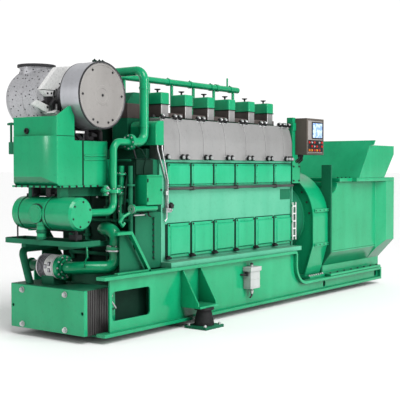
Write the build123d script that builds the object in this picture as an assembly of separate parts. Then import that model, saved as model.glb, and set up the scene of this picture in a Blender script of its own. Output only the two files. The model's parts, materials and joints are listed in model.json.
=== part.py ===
"""Six-cylinder diesel generating set on a resiliently mounted base frame.

X runs along the crankshaft towards the alternator, Y across the set, Z up from the ground.
The origin is on the ground under the middle of the set. All lengths are millimetres.
"""
import os
from math import cos, radians, sin

from build123d import *

# Engine spacing along the set
CYLINDERS = 6
PITCH = 370.0
FRONT_BAY = 280.0
REAR_BAY = 185.0
FRONT_LENGTH = 925.0
OVERRUN = 5.0

# Base frame
GROUND_CLEARANCE = 60.0
BASE_HALF_WIDTH = 600.0
RAIL_HEIGHT = 507.0
LOW_RAIL_HEIGHT = 150.0
FLANGE_WIDTH = 100.0
FLANGE_THICKNESS = 28.0
WEB_THICKNESS = 16.0
WEB_INSET = 40.0
WEB_SETBACK = 100.0
FAR_RAIL_SETBACK = 270.0
STEP_LEAD = 140.0
STEP_TOP_RADIUS = 40.0
STEP_FOOT_RADIUS = 200.0
WINDOW_SETBACK = 130.0
WINDOW_LENGTH = 494.0
WINDOW_LIFT = 122.0
WINDOW_HEIGHT = 250.0
WINDOW_RADIUS = 35.0
SLOT_LENGTH = 80.0
SLOT_WIDTH = 54.0
SLOT_LEAD = 80.0
SLOT_TAIL = 98.0
FLOOR_THICKNESS = 11.0
CROSS_PLATE_LEAD = 225.0
CROSS_PLATE_THICKNESS = 20.0
SUMP_CLEARANCE = 10.0
SUMP_TAIL = 195.0
SUMP_DEPTH = 470.0
SUMP_CHAMFER = 90.0
REAR_BEAM_TAIL = 493.0
REAR_BEAM_LENGTH = 400.0
REAR_BEAM_THICKNESS = 20.0
END_BEAM_LENGTH = 95.0

# Resilient mounts
MOUNT_STAND_OFF = 125.0
REAR_MOUNT_REACH = 220.0
BRACKET_LENGTH = 285.0
BRACKET_STAND_OFF = 190.0
BRACKET_PLATE = 20.0
GUSSET_THICKNESS = 15.0
GUSSET_TIP = 25.0
FOOT_LENGTH = 280.0
FOOT_WIDTH = 250.0
FOOT_THICKNESS = 25.0
FOOT_HOLE_DIAMETER = 24.0
FOOT_HOLE_LENGTH = 220.0
FOOT_HOLE_WIDTH = 190.0
RUBBER_FOOT_RADIUS = 92.0
RUBBER_NECK_RADIUS = 66.0
RUBBER_BASE = 30.0
RUBBER_CAP = 22.0

# Plate cooler between the rails
COOLER_PROUD = 97.0
COOLER_CLEARANCE = 46.0
COOLER_HEIGHT = 383.0
COOLER_PLATE = 40.0
COOLER_PACK_LENGTH = 300.0
COOLER_FINS = 14
COOLER_FIN_DEPTH = 8.0
COOLER_NOTCH_RADIUS = 14.0
COOLER_NOTCH_INSET = 26.0

# Engine frame
CRANK_RISE = 333.0
FRAME_FOOT_HALF_WIDTH = 560.0
FRAME_FOOT_THICKNESS = 45.0
FRAME_HALF_WIDTH = 420.0
FRAME_SIDE_HEIGHT = 993.0
DECK_HALF_WIDTH = 262.0
DECK_RISE = 100.0
END_FLANGE_THICKNESS = 15.0
END_FLANGE_HALF_WIDTH = 440.0
END_FLANGE_DROP = 11.0

# Crankcase doors and camshaft covers
DOOR_LIFT = 71.0
DOOR_HEIGHT = 321.0
DOOR_GAP = 35.0
DOOR_PLATE = 11.0
DOOR_PANEL = 13.0
DOOR_MARGIN = 26.0
DOOR_BEVEL = 11.0
COVER_DROP = 36.0
COVER_HEIGHT = 213.0
COVER_GAP = 30.0
COVER_PLATE = 9.0
COVER_PANEL = 8.0
COVER_MARGIN = 12.0
COVER_BEVEL = 7.0

# Control shaft along the crankcase
SHAFT_RADIUS = 13.0
SHAFT_DROP = 23.0
SHAFT_STAND_OFF = 32.0
SHAFT_BEARING_LENGTH = 26.0
SHAFT_BEARING_RADIUS = 21.0

# Hot box over the fuel pumps, and the cam-drive cover ahead of it
HOT_BOX_SETBACK = 41.0
HOT_BOX_REACH = 440.0
HOT_BOX_SIDE_HEIGHT = 220.0
HOT_BOX_CROWN_HEIGHT = 165.0
HOT_BOX_LEAN = 46.0
HOT_BOX_SEAM = 4.0
HOT_BOX_FOLD_RADIUS = 400.0
HOT_BOX_END_RADIUS = 60.0
HOT_BOX_SHORTFALL = 10.0
CAM_DRIVE_LENGTH = 118.0
CAM_DRIVE_LIFT = 130.0
CAM_DRIVE_DROP = 30.0
CAM_DRIVE_RADIUS = 60.0

# Cylinder heads and rocker covers
HEAD_LENGTH = 320.0
HEAD_HEIGHT = 300.0
ROCKER_LENGTH = 126.0
ROCKER_WIDTH = 196.0
ROCKER_BASE_HEIGHT = 130.0
ROCKER_COVER_HEIGHT = 113.0
ROCKER_RADIUS = 14.0
ROCKER_TOP_BEVEL = 7.0
ROCKER_BASE_MARGIN = 4.0
KNOB_STEM_RADIUS = 9.0
KNOB_STEM_HEIGHT = 22.0
KNOB_HEAD_RADIUS = 30.0
KNOB_HEAD_HEIGHT = 16.0

# Exhaust manifold along the far side
MANIFOLD_DEPTH = 250.0
MANIFOLD_LIFT = 20.0
MANIFOLD_HEIGHT = 380.0
MANIFOLD_RADIUS = 70.0
MANIFOLD_SHORTFALL = 60.0
DUCT_RADIUS = 130.0
DUCT_REACH = 400.0
DUCT_RISE = 250.0

# Cooling water pipes
WATER_MANIFOLD_RADIUS = 34.0
WATER_MANIFOLD_REACH = 200.0
WATER_MANIFOLD_RISE = 169.0
WATER_MANIFOLD_TAIL = 15.0
WATER_COLLAR_RADIUS = 42.0
WATER_COLLAR_LENGTH = 46.0
WATER_BRANCH_RADIUS = 17.0
WATER_BRANCH_SETBACK = 74.0
WATER_VENT_RADIUS = 10.0
WATER_VENT_HEIGHT = 90.0
WATER_JOINT_REACH = 60.0
TALL_PIPE_RADIUS = 42.0
TALL_PIPE_GAP = 11.0
TALL_PIPE_REACH = 345.0
TALL_PIPE_LIFT = 152.0
TALL_PIPE_BEND = 95.0
PIPE_JOINT_REACH = 197.0
LOW_PIPE_RADIUS = 33.0
LOW_PIPE_REACH = 218.0
LOW_PIPE_BEND = 85.0
PIPE_FLANGE_RADIUS = 72.0
PIPE_FLANGE_THICKNESS = 20.0

# Charge air cooler under the turbocharger
AIR_COOLER_LEAD = 220.0
AIR_COOLER_BACK = 424.0
AIR_COOLER_HALF_WIDTH = 268.0
AIR_COOLER_BODY_HEIGHT = 399.0
AIR_COOLER_HEAD_HEIGHT = 200.0
AIR_COOLER_HEAD_LENGTH = 208.0
AIR_COOLER_WING_RISE = 88.0
AIR_COOLER_WING_FLAT = 67.0
AIR_COOLER_WING_THICKNESS = 14.0
AIR_COOLER_CHAMFER = 34.0
AIR_COOLER_ROUND = 55.0
AIR_COVER_PROUD = 42.0
AIR_COVER_NEAR_SLOPE = 147.0
AIR_COVER_FAR_SLOPE = 48.0
AIR_COVER_FOOT_SLOPE = 57.0
AIR_COVER_RISE = 36.0
AIR_DUCT_HALF_WIDTH = 210.0
AIR_DUCT_HEIGHT = 244.0
CONSOLE_SETBACK = 77.0
CONSOLE_HALF_WIDTH = 200.0
CONSOLE_DEPTH = 80.0

# Turbocharger, with its shaft across the set
TURBO_SETBACK = 225.0
TURBO_RISE = 390.0
SILENCER_RADIUS = 290.0
SILENCER_REACH = 373.0
SILENCER_LENGTH = 263.0
SILENCER_RIM = 12.0
SILENCER_RECESS = 8.0
SILENCER_ROUND = 30.0
SILENCER_CLEARANCE = 8.0
VOLUTE_RADIUS = 235.0
VOLUTE_LENGTH = 55.0
NECK_RADIUS = 120.0
NECK_LENGTH = 143.0
TURBINE_LENGTH = 522.0
TURBINE_RADIUS = 268.0
TURBINE_ROUND = 70.0
TURBINE_ROUND_SHARE = 0.29
OUTLET_REACH = 455.0
OUTLET_RADIUS = 152.0
OUTLET_BORE_RADIUS = 128.0
OUTLET_BORE_DEPTH = 240.0
OUTLET_FLANGE_RADIUS = 174.0
OUTLET_FLANGE_THICKNESS = 22.0
OUTLET_RISE = 313.0
OUTLET_HOLE_CIRCLE = 302.0
OUTLET_HOLE_DIAMETER = 18.0
OUTLET_HOLES = 12
SHIELD_LENGTH = 400.0
SHIELD_THICKNESS = 45.0
SHIELD_WIDTH = 138.0
SHIELD_ANGLES = (130.0, 246.0)
PEDESTAL_LENGTH = 200.0
PEDESTAL_FAR_REACH = 255.0

# Front end of the engine
FRONT_END_LENGTH = 375.0
GEAR_CASE_HALF_WIDTH = 440.0
GEAR_CASE_HEIGHT = 513.0
GEAR_FLANGE_HALF_WIDTH = 460.0
GEAR_FLANGE_LEAD = 109.0
GEAR_FLANGE_THICKNESS = 24.0
GEAR_FLANGE_LIFT = 84.0
GEAR_FLANGE_DROP = 45.0
FRONT_END_HALF_WIDTH = 400.0
FRONT_BRACKET_SETBACK = 198.0
FRONT_BRACKET_FOOT = 450.0
FRONT_BRACKET_HEAD = 196.0
FRONT_BRACKET_HEIGHT = 365.0
FRONT_BRACKET_RIM = 30.0
FRONT_BRACKET_WEB = 14.0
CABINET_SETBACK = 50.0
CABINET_LENGTH = 210.0
CABINET_DEPTH = 150.0
CABINET_LIFT = 70.0
CABINET_HEIGHT = 269.0
CABINET_ROUND = 8.0
TOP_BOX_LEAD = 76.0
TOP_BOX_LENGTH = 189.0
TOP_BOX_WIDTH = 196.0
TOP_BOX_HEIGHT = 535.0
TOP_BOX_BEVEL = 90.0
FUEL_PIPE_RADIUS = 26.0
FUEL_PIPE_GAP = 2.0
FUEL_PIPE_STAND_OFF = 120.0
FUEL_PIPE_LEAD = 126.0
FUEL_PIPE_RUN = 234.0
FUEL_PIPE_BEND = 60.0
FUEL_FLANGE_RADIUS = 44.0
FUEL_FLANGE_THICKNESS = 16.0
LEAK_PIPES = 2
LEAK_PIPE_RADIUS = 7.0
LEAK_PIPE_BEND = 40.0
LEAK_PIPE_SETBACK = 32.0
LEAK_PIPE_SPACING = 40.0
LEAK_PIPE_SPREAD = 21.0
LEAK_PIPE_NECK = 35.0
LEAK_PIPE_SLANT = 285.0
LEAK_PIPE_RUN = 122.0
LEAK_PIPE_STAND_OFF = 13.0
LEAK_BLOCK_LENGTH = 76.0
LEAK_BLOCK_DEPTH = 50.0
LEAK_BLOCK_DROP = 490.0
LEAK_BLOCK_HEIGHT = 40.0

# Oil filter drum, drip tray, pump and small pipes at the front
DRUM_RADIUS = 140.0
DRUM_LEAD = 119.0
DRUM_LIFT_SHARE = 0.745
DRUM_NEAR_REACH = 453.0
DRUM_LENGTH = 720.0
DRUM_DOME = 18.0
DRUM_BAND_RADIUS = 147.0
DRUM_BAND_WIDTH = 22.0
DRUM_BAND_SHARES = (0.43, 0.88)
DRUM_BOSS_REACH = 155.0
DRUM_BOSS_RADIUS = 62.0
DRUM_BOSS_SHARE = 0.554
SADDLE_LENGTH = 90.0
SADDLE_WIDTH = 40.0
SADDLE_SHARES = (0.31, 0.8)
VALVE_RADIUS = 40.0
VALVE_LEAD = 103.0
VALVE_SHARE = 0.518
VALVE_DROP = 66.0
VALVE_CLEARANCE = 6.0
TRAY_LEAD = 238.0
TRAY_BACK = 40.0
TRAY_NEAR_REACH = 510.0
TRAY_FAR_REACH = 417.0
TRAY_LIFT_SHARE = 0.4385
TRAY_DEPTH = 42.0
TRAY_WALL = 8.0
TRAY_RADIUS = 90.0
TRAY_ARM_WIDTH = 50.0
TRAY_ARM_DEPTH = 40.0
TRAY_ARM_REACH = 230.0
PUMP_SETBACK = 100.0
PUMP_LIFT_SHARE = 0.18
PUMP_RADIUS = 103.0
PUMP_CASING_RADIUS = 108.0
PUMP_FACE_REACH = 25.0
PUMP_CASING_LENGTH = 45.0
PUMP_MOTOR_LENGTH = 210.0
PUMP_TAIL_LENGTH = 180.0
PUMP_TAIL_RADIUS = 46.0
PUMP_BEVEL = 18.0
PUMP_BASE_LENGTH = 150.0
PUMP_BASE_SETBACK = 20.0
PUMP_BASE_WIDTH = 150.0
PUMP_PIPE_RADIUS = 56.0
PUMP_PIPE_NECK = 95.0
PUMP_PIPE_LEAD = 172.0
PUMP_PIPE_GAP = 8.0
PUMP_PIPE_DROP = 156.0
PUMP_PIPE_RETURN = 180.0
PUMP_PIPE_BEND = 90.0
PUMP_FLANGE_RISE = 163.0
PUMP_FLANGE_RADIUS = 84.0
DRAIN_RADIUS = 34.0
DRAIN_FOOT_REACH = 290.0
DRAIN_GAP = 6.0
DRAIN_LIFT_SHARE = 0.355
DRAIN_LEAD = 20.0
DRAIN_BEND = 70.0

# Control panel at the flywheel end
POST_LENGTH = 60.0
POST_DEPTH = 80.0
POST_REACH = 440.0
POST_DROP = 250.0
POST_HEIGHT = 740.0
POST_FOOT_LENGTH = 168.0
POST_FOOT_DEPTH = 100.0
POST_FOOT_HEIGHT = 235.0
PANEL_LENGTH = 380.0
PANEL_REACH = 592.0
PANEL_DEPTH = 180.0
PANEL_LIFT = 72.0
PANEL_HEIGHT = 410.0
PANEL_ROUND = 10.0
PANEL_LIP = 10.0
PANEL_RECESS = 6.0

# Flywheel end
NECK_HOUSING_RADIUS = 430.0
NECK_HOUSING_LENGTH = 260.0
LADDER_WIDTH = 78.0
LADDER_LIFT = 109.0
LADDER_HEIGHT = 420.0
LADDER_BAR = 14.0
LADDER_RUNGS = 5
GUARD_LENGTH = 340.0
GUARD_RADIUS = 560.0
GUARD_RIM = 14.0
GUARD_RECESS = 24.0
GUARD_SIDE_DROP = 300.0
GUARD_FOOT_HALF_WIDTH = 520.0
GUARD_FOOT_THICKNESS = 30.0
GUARD_SKIRT_HALF_WIDTH = 450.0
GUARD_STRAP_PROUD = 12.0
GUARD_STRAP_DEPTH = 60.0
GUARD_STRAP_HEIGHT = 34.0
GUARD_STRAP_RISE = 95.0

# Alternator
ALTERNATOR_LENGTH = 1465.0
ALTERNATOR_OVERHANG = 147.0
ALTERNATOR_HALF_WIDTH = 600.0
ALTERNATOR_HEIGHT = 1110.0
ALTERNATOR_SILL_RISE = 285.0
ALTERNATOR_KEEL_HALF_WIDTH = 480.0
ALTERNATOR_KEEL_HEIGHT = 120.0
ALTERNATOR_FLARE_HALF_WIDTH = 700.0
ALTERNATOR_FLARE_LENGTH = 330.0
ALTERNATOR_FLARE_SLOPE = 100.0
ALTERNATOR_FLARE_RISE = 75.0
ALTERNATOR_FOOT_THICKNESS = 30.0
ALTERNATOR_FOOT_HALF_WIDTH = 590.0
ALTERNATOR_NOTCH_RADIUS = 125.0
SHIELD_END_LENGTH = 25.0
SHIELD_END_DROP = 70.0
LUG_HEIGHT = 270.0
LUG_WIDTH = 130.0
ROOF_THICKNESS = 46.0
ROOF_OVERHANG = 35.0
ROOF_APRON = 60.0
HOOD_LENGTH = 690.0
HOOD_LEAN = 285.0
HOOD_REAR_LEAN = 270.0
HOOD_HEIGHT = 400.0
HOOD_LIP_HEIGHT = 105.0
HOOD_FRONT_RISE = 60.0
HOOD_FRONT_MARGIN = 45.0
HOOD_WALL = 20.0
HOOD_POCKET_DEPTH = 300.0

# Leak-oil canister on the near rail
CANISTER_SETBACK = 1251.0
CANISTER_LENGTH = 169.0
CANISTER_DEPTH = 90.0
CANISTER_LIFT = 193.0
CANISTER_HEIGHT = 177.0
CANISTER_LID = 45.0
CANISTER_LID_MARGIN = 12.0
CANISTER_KNOB_RADIUS = 14.0
CANISTER_KNOB_HEIGHT = 24.0

# Lengths worked out from the sizes above
FRONT_OVERHANG = DRUM_LEAD + DRUM_BOSS_REACH
ENGINE_LENGTH = FRONT_BAY + (CYLINDERS - 1) * PITCH + REAR_BAY
COUPLING_LENGTH = NECK_HOUSING_LENGTH + GUARD_LENGTH + SHIELD_END_LENGTH
OVERALL_LENGTH = FRONT_OVERHANG + FRONT_LENGTH + ENGINE_LENGTH + COUPLING_LENGTH + ALTERNATOR_LENGTH

# Places along the set
REAR_END = OVERALL_LENGTH / 2
BASE_FRONT = FRONT_OVERHANG - OVERALL_LENGTH / 2
BASE_REAR = REAR_END - ALTERNATOR_OVERHANG
ENGINE_FRONT = BASE_FRONT + FRONT_LENGTH
ENGINE_REAR = ENGINE_FRONT + ENGINE_LENGTH
FIRST_CYLINDER = ENGINE_FRONT + FRONT_BAY
LAST_CYLINDER = ENGINE_REAR - REAR_BAY
FRONT_END_FACE = ENGINE_FRONT - FRONT_END_LENGTH
GUARD_FRONT = ENGINE_REAR + NECK_HOUSING_LENGTH
GUARD_REAR = GUARD_FRONT + GUARD_LENGTH
ALTERNATOR_FRONT = GUARD_REAR + SHIELD_END_LENGTH
HOOD_FRONT = REAR_END - HOOD_LEAN - HOOD_LENGTH
REAR_BEAM_X = BASE_REAR - REAR_BEAM_TAIL
TURBO_X = BASE_FRONT + TURBO_SETBACK
PUMP_X = BASE_FRONT + PUMP_SETBACK
DRUM_X = BASE_FRONT - DRUM_LEAD
HOT_BOX_FRONT = ENGINE_FRONT + HOT_BOX_SETBACK
CAM_DRIVE_REAR = HOT_BOX_FRONT + HOT_BOX_SEAM / 2
CAM_DRIVE_FRONT = CAM_DRIVE_REAR - CAM_DRIVE_LENGTH
TALL_PIPE_X = CAM_DRIVE_FRONT - TALL_PIPE_GAP - TALL_PIPE_RADIUS
PIPE_JOINT_X = TALL_PIPE_X - PIPE_JOINT_REACH
LOW_PIPE_X = PIPE_JOINT_X - LOW_PIPE_REACH

# Places across the set
FLANGE_INNER = BASE_HALF_WIDTH - FLANGE_WIDTH
WEB_OUTER = BASE_HALF_WIDTH - WEB_INSET
MOUNT_REACH = BASE_HALF_WIDTH + MOUNT_STAND_OFF
BRACKET_REACH = BASE_HALF_WIDTH + BRACKET_STAND_OFF
COOLER_HALF_WIDTH = FLANGE_INNER - COOLER_CLEARANCE
SILENCER_BACK = SILENCER_LENGTH - SILENCER_REACH
VOLUTE_END = SILENCER_BACK + VOLUTE_LENGTH
TURBINE_START = VOLUTE_END + NECK_LENGTH
TURBINE_END = TURBINE_START + TURBINE_LENGTH
PUMP_CASING_END = PUMP_CASING_LENGTH - PUMP_FACE_REACH
PUMP_MOTOR_END = PUMP_CASING_END + PUMP_MOTOR_LENGTH

# Heights above the ground
RAIL_TOP = GROUND_CLEARANCE + RAIL_HEIGHT
LOW_RAIL_TOP = GROUND_CLEARANCE + LOW_RAIL_HEIGHT
COOLER_BOTTOM = GROUND_CLEARANCE + FLOOR_THICKNESS
COOLER_TOP = COOLER_BOTTOM + COOLER_HEIGHT
CRANK_HEIGHT = RAIL_TOP + CRANK_RISE
FRAME_SHOULDER = RAIL_TOP + FRAME_SIDE_HEIGHT
DECK_HEIGHT = FRAME_SHOULDER + DECK_RISE
HEAD_TOP = DECK_HEIGHT + HEAD_HEIGHT
ROCKER_SPLIT = HEAD_TOP + ROCKER_BASE_HEIGHT
ROCKER_TOP = ROCKER_SPLIT + ROCKER_COVER_HEIGHT
DOOR_BOTTOM = RAIL_TOP + DOOR_LIFT
COVER_BOTTOM = FRAME_SHOULDER - COVER_DROP - COVER_HEIGHT
END_FLANGE_TOP = COVER_BOTTOM - END_FLANGE_DROP
SHAFT_HEIGHT = COVER_BOTTOM - SHAFT_DROP
HOT_BOX_FOLD = FRAME_SHOULDER + HOT_BOX_SIDE_HEIGHT
HOT_BOX_TOP = HOT_BOX_FOLD + HOT_BOX_CROWN_HEIGHT
CAM_DRIVE_BOTTOM = FRAME_SHOULDER + CAM_DRIVE_LIFT
CAM_DRIVE_TOP = HOT_BOX_TOP - CAM_DRIVE_DROP
MANIFOLD_BOTTOM = DECK_HEIGHT + MANIFOLD_LIFT
DUCT_HEIGHT = MANIFOLD_BOTTOM + DUCT_RISE
WATER_MANIFOLD_HEIGHT = ROCKER_TOP + WATER_MANIFOLD_RISE
TALL_PIPE_FOOT = FRAME_SHOULDER + TALL_PIPE_LIFT
GEAR_CASE_TOP = RAIL_TOP + GEAR_CASE_HEIGHT
CABINET_BOTTOM = GEAR_CASE_TOP + CABINET_LIFT
AIR_COOLER_BOTTOM = FRAME_SHOULDER - AIR_DUCT_HEIGHT
AIR_COOLER_SHELF = AIR_COOLER_BOTTOM + AIR_COOLER_BODY_HEIGHT
AIR_COOLER_TOP = AIR_COOLER_SHELF + AIR_COOLER_HEAD_HEIGHT
AIR_COOLER_WING_TOP = AIR_COOLER_TOP + AIR_COOLER_WING_RISE
TURBO_HEIGHT = AIR_COOLER_SHELF + TURBO_RISE
OUTLET_HEIGHT = TURBO_HEIGHT + OUTLET_RISE
FRONT_SPACE = AIR_COOLER_BOTTOM - COOLER_TOP
DRUM_HEIGHT = COOLER_TOP + FRONT_SPACE * DRUM_LIFT_SHARE
TRAY_FLOOR = COOLER_TOP + FRONT_SPACE * TRAY_LIFT_SHARE
PUMP_HEIGHT = COOLER_TOP + FRONT_SPACE * PUMP_LIFT_SHARE
DRAIN_HEIGHT = COOLER_TOP + FRONT_SPACE * DRAIN_LIFT_SHARE
PANEL_BOTTOM = FRAME_SHOULDER + PANEL_LIFT
LADDER_BOTTOM = RAIL_TOP + LADDER_LIFT
ALTERNATOR_TOP = LOW_RAIL_TOP + ALTERNATOR_HEIGHT
ALTERNATOR_SILL = LOW_RAIL_TOP + ALTERNATOR_SILL_RISE
SHIELD_END_TOP = ALTERNATOR_TOP - SHIELD_END_DROP
ROOF_TOP = ALTERNATOR_TOP + ROOF_THICKNESS
CANISTER_BOTTOM = GROUND_CLEARANCE + CANISTER_LIFT


def block(x0, x1, y0, y1, z0, z1):
    """Rectangular block between two corners."""
    middle = Pos((x0 + x1) / 2, (y0 + y1) / 2, (z0 + z1) / 2)
    return middle * Box(x1 - x0, y1 - y0, z1 - z0)


def bar_x(y, z, radius, x0, x1):
    """Round bar along X."""
    return Pos((x0 + x1) / 2, y, z) * Rot(0, 90, 0) * Cylinder(radius, x1 - x0)


def bar_y(x, z, radius, y0, y1):
    """Round bar along Y."""
    return Pos(x, (y0 + y1) / 2, z) * Rot(90, 0, 0) * Cylinder(radius, y1 - y0)


def bar_z(x, y, radius, z0, z1):
    """Round bar along Z."""
    return Pos(x, y, (z0 + z1) / 2) * Cylinder(radius, z1 - z0)


def shape(*points):
    """Flat face inside a closed run of points."""
    return make_face(Polyline(*points, close=True))


def across(face, y0, y1):
    """Face drawn in X and Z, carried along Y."""
    return extrude(Plane.XZ.offset(-y1) * face, amount=y1 - y0)


def along(face, x0, x1):
    """Face drawn in Y and Z, carried along X."""
    return extrude(Plane.YZ.offset(x0) * face, amount=x1 - x0)


def upward(face, z0, z1):
    """Face drawn in X and Y, carried along Z."""
    return extrude(Plane.XY.offset(z0) * face, amount=z1 - z0)


def rounded(face, corner, radius):
    """Face with the corner nearest to a point rounded off."""
    return fillet(face.vertices().sort_by_distance((*corner, 0))[0], radius)


def pipe(points, radius, bend):
    """Round pipe along straight runs joined by bends."""
    path = FilletPolyline(*points, radius=bend)
    return sweep(Plane(origin=path @ 0, z_dir=path % 0) * Circle(radius), path=path)


def far_side(solid):
    """The same piece on the far side of the set."""
    return mirror(solid, about=Plane.XZ)


def cylinder_places():
    """X of every cylinder."""
    return [FIRST_CYLINDER + PITCH * number for number in range(CYLINDERS)]


def save(name, *pieces):
    """Write one node from pieces that do not touch."""
    solids = [solid for piece in pieces for solid in piece.solids()]
    shown = solids[0] if len(solids) == 1 else Compound(solids)
    export_step(shown, os.path.join("parts", name + ".step"))


def rail_outline():
    """Side outline of a base rail, deep under the engine and low under the alternator."""
    step = ENGINE_REAR - STEP_LEAD
    face = shape(
        (BASE_FRONT, GROUND_CLEARANCE), (BASE_REAR, GROUND_CLEARANCE), (BASE_REAR, LOW_RAIL_TOP),
        (step, LOW_RAIL_TOP), (step, RAIL_TOP), (BASE_FRONT, RAIL_TOP),
    )
    face = rounded(face, (step, LOW_RAIL_TOP), STEP_FOOT_RADIUS)
    return rounded(face, (step, RAIL_TOP), STEP_TOP_RADIUS)


def base_rail():
    """Near rail: a web with a rim flange, open at the front, with a window and two oval holes."""
    outline = rail_outline()
    inside = offset(outline, -FLANGE_THICKNESS, kind=Kind.INTERSECTION)
    rim = across(outline - inside, -BASE_HALF_WIDTH, -FLANGE_INNER)
    web = across(outline, -WEB_OUTER, WEB_THICKNESS - WEB_OUTER)
    opening = Pos(
        BASE_FRONT + WINDOW_SETBACK + WINDOW_LENGTH / 2,
        GROUND_CLEARANCE + WINDOW_LIFT + WINDOW_HEIGHT / 2,
    ) * RectangleRounded(WINDOW_LENGTH, WINDOW_HEIGHT, WINDOW_RADIUS)
    web -= across(opening, -BASE_HALF_WIDTH, -FLANGE_INNER)
    for place in (GUARD_REAR - SLOT_LEAD, BASE_REAR - SLOT_TAIL):
        middle = Pos(place, GROUND_CLEARANCE + LOW_RAIL_HEIGHT / 2)
        slot = middle * Rot(0, 0, 90) * SlotOverall(SLOT_LENGTH, SLOT_WIDTH)
        web -= across(slot, -BASE_HALF_WIDTH, -FLANGE_INNER)
    return rim + web - block(
        BASE_FRONT, BASE_FRONT + WEB_SETBACK, -BASE_HALF_WIDTH, -FLANGE_INNER,
        GROUND_CLEARANCE + FLANGE_THICKNESS, RAIL_TOP - FLANGE_THICKNESS,
    )


def far_base_rail():
    """Far rail, which starts further back."""
    start = BASE_FRONT + FAR_RAIL_SETBACK
    return far_side(base_rail()) - block(
        BASE_FRONT, start, FLANGE_INNER, BASE_HALF_WIDTH, GROUND_CLEARANCE, RAIL_TOP,
    )


def front_floor():
    """Floor plate under the plate cooler, with the cross plate behind it."""
    cross = ENGINE_FRONT - CROSS_PLATE_LEAD
    rear = cross + CROSS_PLATE_THICKNESS
    floor = block(BASE_FRONT, rear, -FLANGE_INNER, FLANGE_INNER, GROUND_CLEARANCE, COOLER_BOTTOM)
    return floor + block(cross, rear, -FLANGE_INNER, FLANGE_INNER, GROUND_CLEARANCE, RAIL_TOP)


def oil_sump():
    """Oil sump hung under the engine frame between the rails."""
    half = FLANGE_INNER - SUMP_CLEARANCE
    tank = block(ENGINE_FRONT, ENGINE_REAR - SUMP_TAIL, -half, half, RAIL_TOP - SUMP_DEPTH, RAIL_TOP)
    keel = tank.edges().filter_by(Axis.X).group_by(Axis.Z)[0]
    return chamfer(keel, SUMP_CHAMFER)


def rear_cross_members():
    """Beam over the rear mounts and the beam that closes the base frame."""
    half = REAR_BEAM_LENGTH / 2
    beam = block(
        REAR_BEAM_X - half, REAR_BEAM_X + half, -FLANGE_INNER, FLANGE_INNER,
        LOW_RAIL_TOP - REAR_BEAM_THICKNESS, LOW_RAIL_TOP,
    )
    end = block(
        BASE_REAR - END_BEAM_LENGTH, BASE_REAR, -FLANGE_INNER, FLANGE_INNER,
        GROUND_CLEARANCE, LOW_RAIL_TOP,
    )
    return [beam, end]


def mount_places():
    """Centre of every resilient mount, in X and Y."""
    front = [(FIRST_CYLINDER, side) for side in (-MOUNT_REACH, MOUNT_REACH)]
    return front + [(REAR_BEAM_X, side) for side in (-REAR_MOUNT_REACH, REAR_MOUNT_REACH)]


def mount_bracket():
    """Near bracket: a shelf off the rail's web under two raking gussets."""
    middle = FIRST_CYLINDER
    shelf_top = LOW_RAIL_TOP - REAR_BEAM_THICKNESS + BRACKET_PLATE
    half = BRACKET_LENGTH / 2
    bracket = block(
        middle - half, middle + half, -BRACKET_REACH, -WEB_OUTER, shelf_top - BRACKET_PLATE, shelf_top,
    )
    gusset_top = RAIL_TOP - FLANGE_THICKNESS
    rake = shape(
        (-WEB_OUTER, shelf_top), (-WEB_OUTER, gusset_top), (-WEB_OUTER - GUSSET_TIP, gusset_top),
        (-BRACKET_REACH + GUSSET_TIP, shelf_top + GUSSET_TIP), (-BRACKET_REACH + GUSSET_TIP, shelf_top),
    )
    bracket += along(rake, middle - half, middle - half + GUSSET_THICKNESS)
    return bracket + along(rake, middle + half - GUSSET_THICKNESS, middle + half)


def mount_rubber(x, y):
    """Conical rubber mount between a foot plate and its beam."""
    top = LOW_RAIL_TOP - REAR_BEAM_THICKNESS
    outline = shape(
        (0, FOOT_THICKNESS), (RUBBER_FOOT_RADIUS, FOOT_THICKNESS),
        (RUBBER_FOOT_RADIUS, FOOT_THICKNESS + RUBBER_BASE), (RUBBER_NECK_RADIUS, top - RUBBER_CAP),
        (RUBBER_FOOT_RADIUS, top - RUBBER_CAP), (RUBBER_FOOT_RADIUS, top), (0, top),
    )
    return Pos(x, y, 0) * revolve(Plane.XZ * outline, Axis.Z)


def mount_foot(x, y):
    """Foot plate with four holding-down holes."""
    plan = Rectangle(FOOT_LENGTH, FOOT_WIDTH)
    plan -= GridLocations(FOOT_HOLE_LENGTH, FOOT_HOLE_WIDTH, 2, 2) * Circle(FOOT_HOLE_DIAMETER / 2)
    return Pos(x, y, 0) * upward(plan, 0, FOOT_THICKNESS)


def cooler_end_plates():
    """Front and rear pressure plates of the plate cooler."""
    front = BASE_FRONT - COOLER_PROUD
    half = COOLER_HALF_WIDTH
    plate = block(front, front + COOLER_PLATE, -half, half, COOLER_BOTTOM, COOLER_TOP)
    for side in (-half + COOLER_NOTCH_INSET, half - COOLER_NOTCH_INSET):
        notch = bar_x(
            side, COOLER_BOTTOM + COOLER_HEIGHT / 2, COOLER_NOTCH_RADIUS,
            front - OVERRUN, front + COOLER_PLATE + OVERRUN,
        )
        plate -= notch
    back = front + COOLER_PLATE + COOLER_PACK_LENGTH
    return [plate, block(back, back + COOLER_PLATE, -half, half, COOLER_BOTTOM, COOLER_TOP)]


def cooler_plates():
    """Pack of thin plates, with every other plate set back."""
    start = BASE_FRONT - COOLER_PROUD + COOLER_PLATE
    half = COOLER_HALF_WIDTH - COOLER_FIN_DEPTH
    pack = block(start, start + COOLER_PACK_LENGTH, -half, half, COOLER_BOTTOM, COOLER_TOP)
    fin_pitch = COOLER_PACK_LENGTH / COOLER_FINS
    for number in range(COOLER_FINS):
        fin = start + fin_pitch * number
        pack += block(
            fin, fin + fin_pitch / 2, -COOLER_HALF_WIDTH, COOLER_HALF_WIDTH, COOLER_BOTTOM, COOLER_TOP,
        )
    return pack


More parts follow.
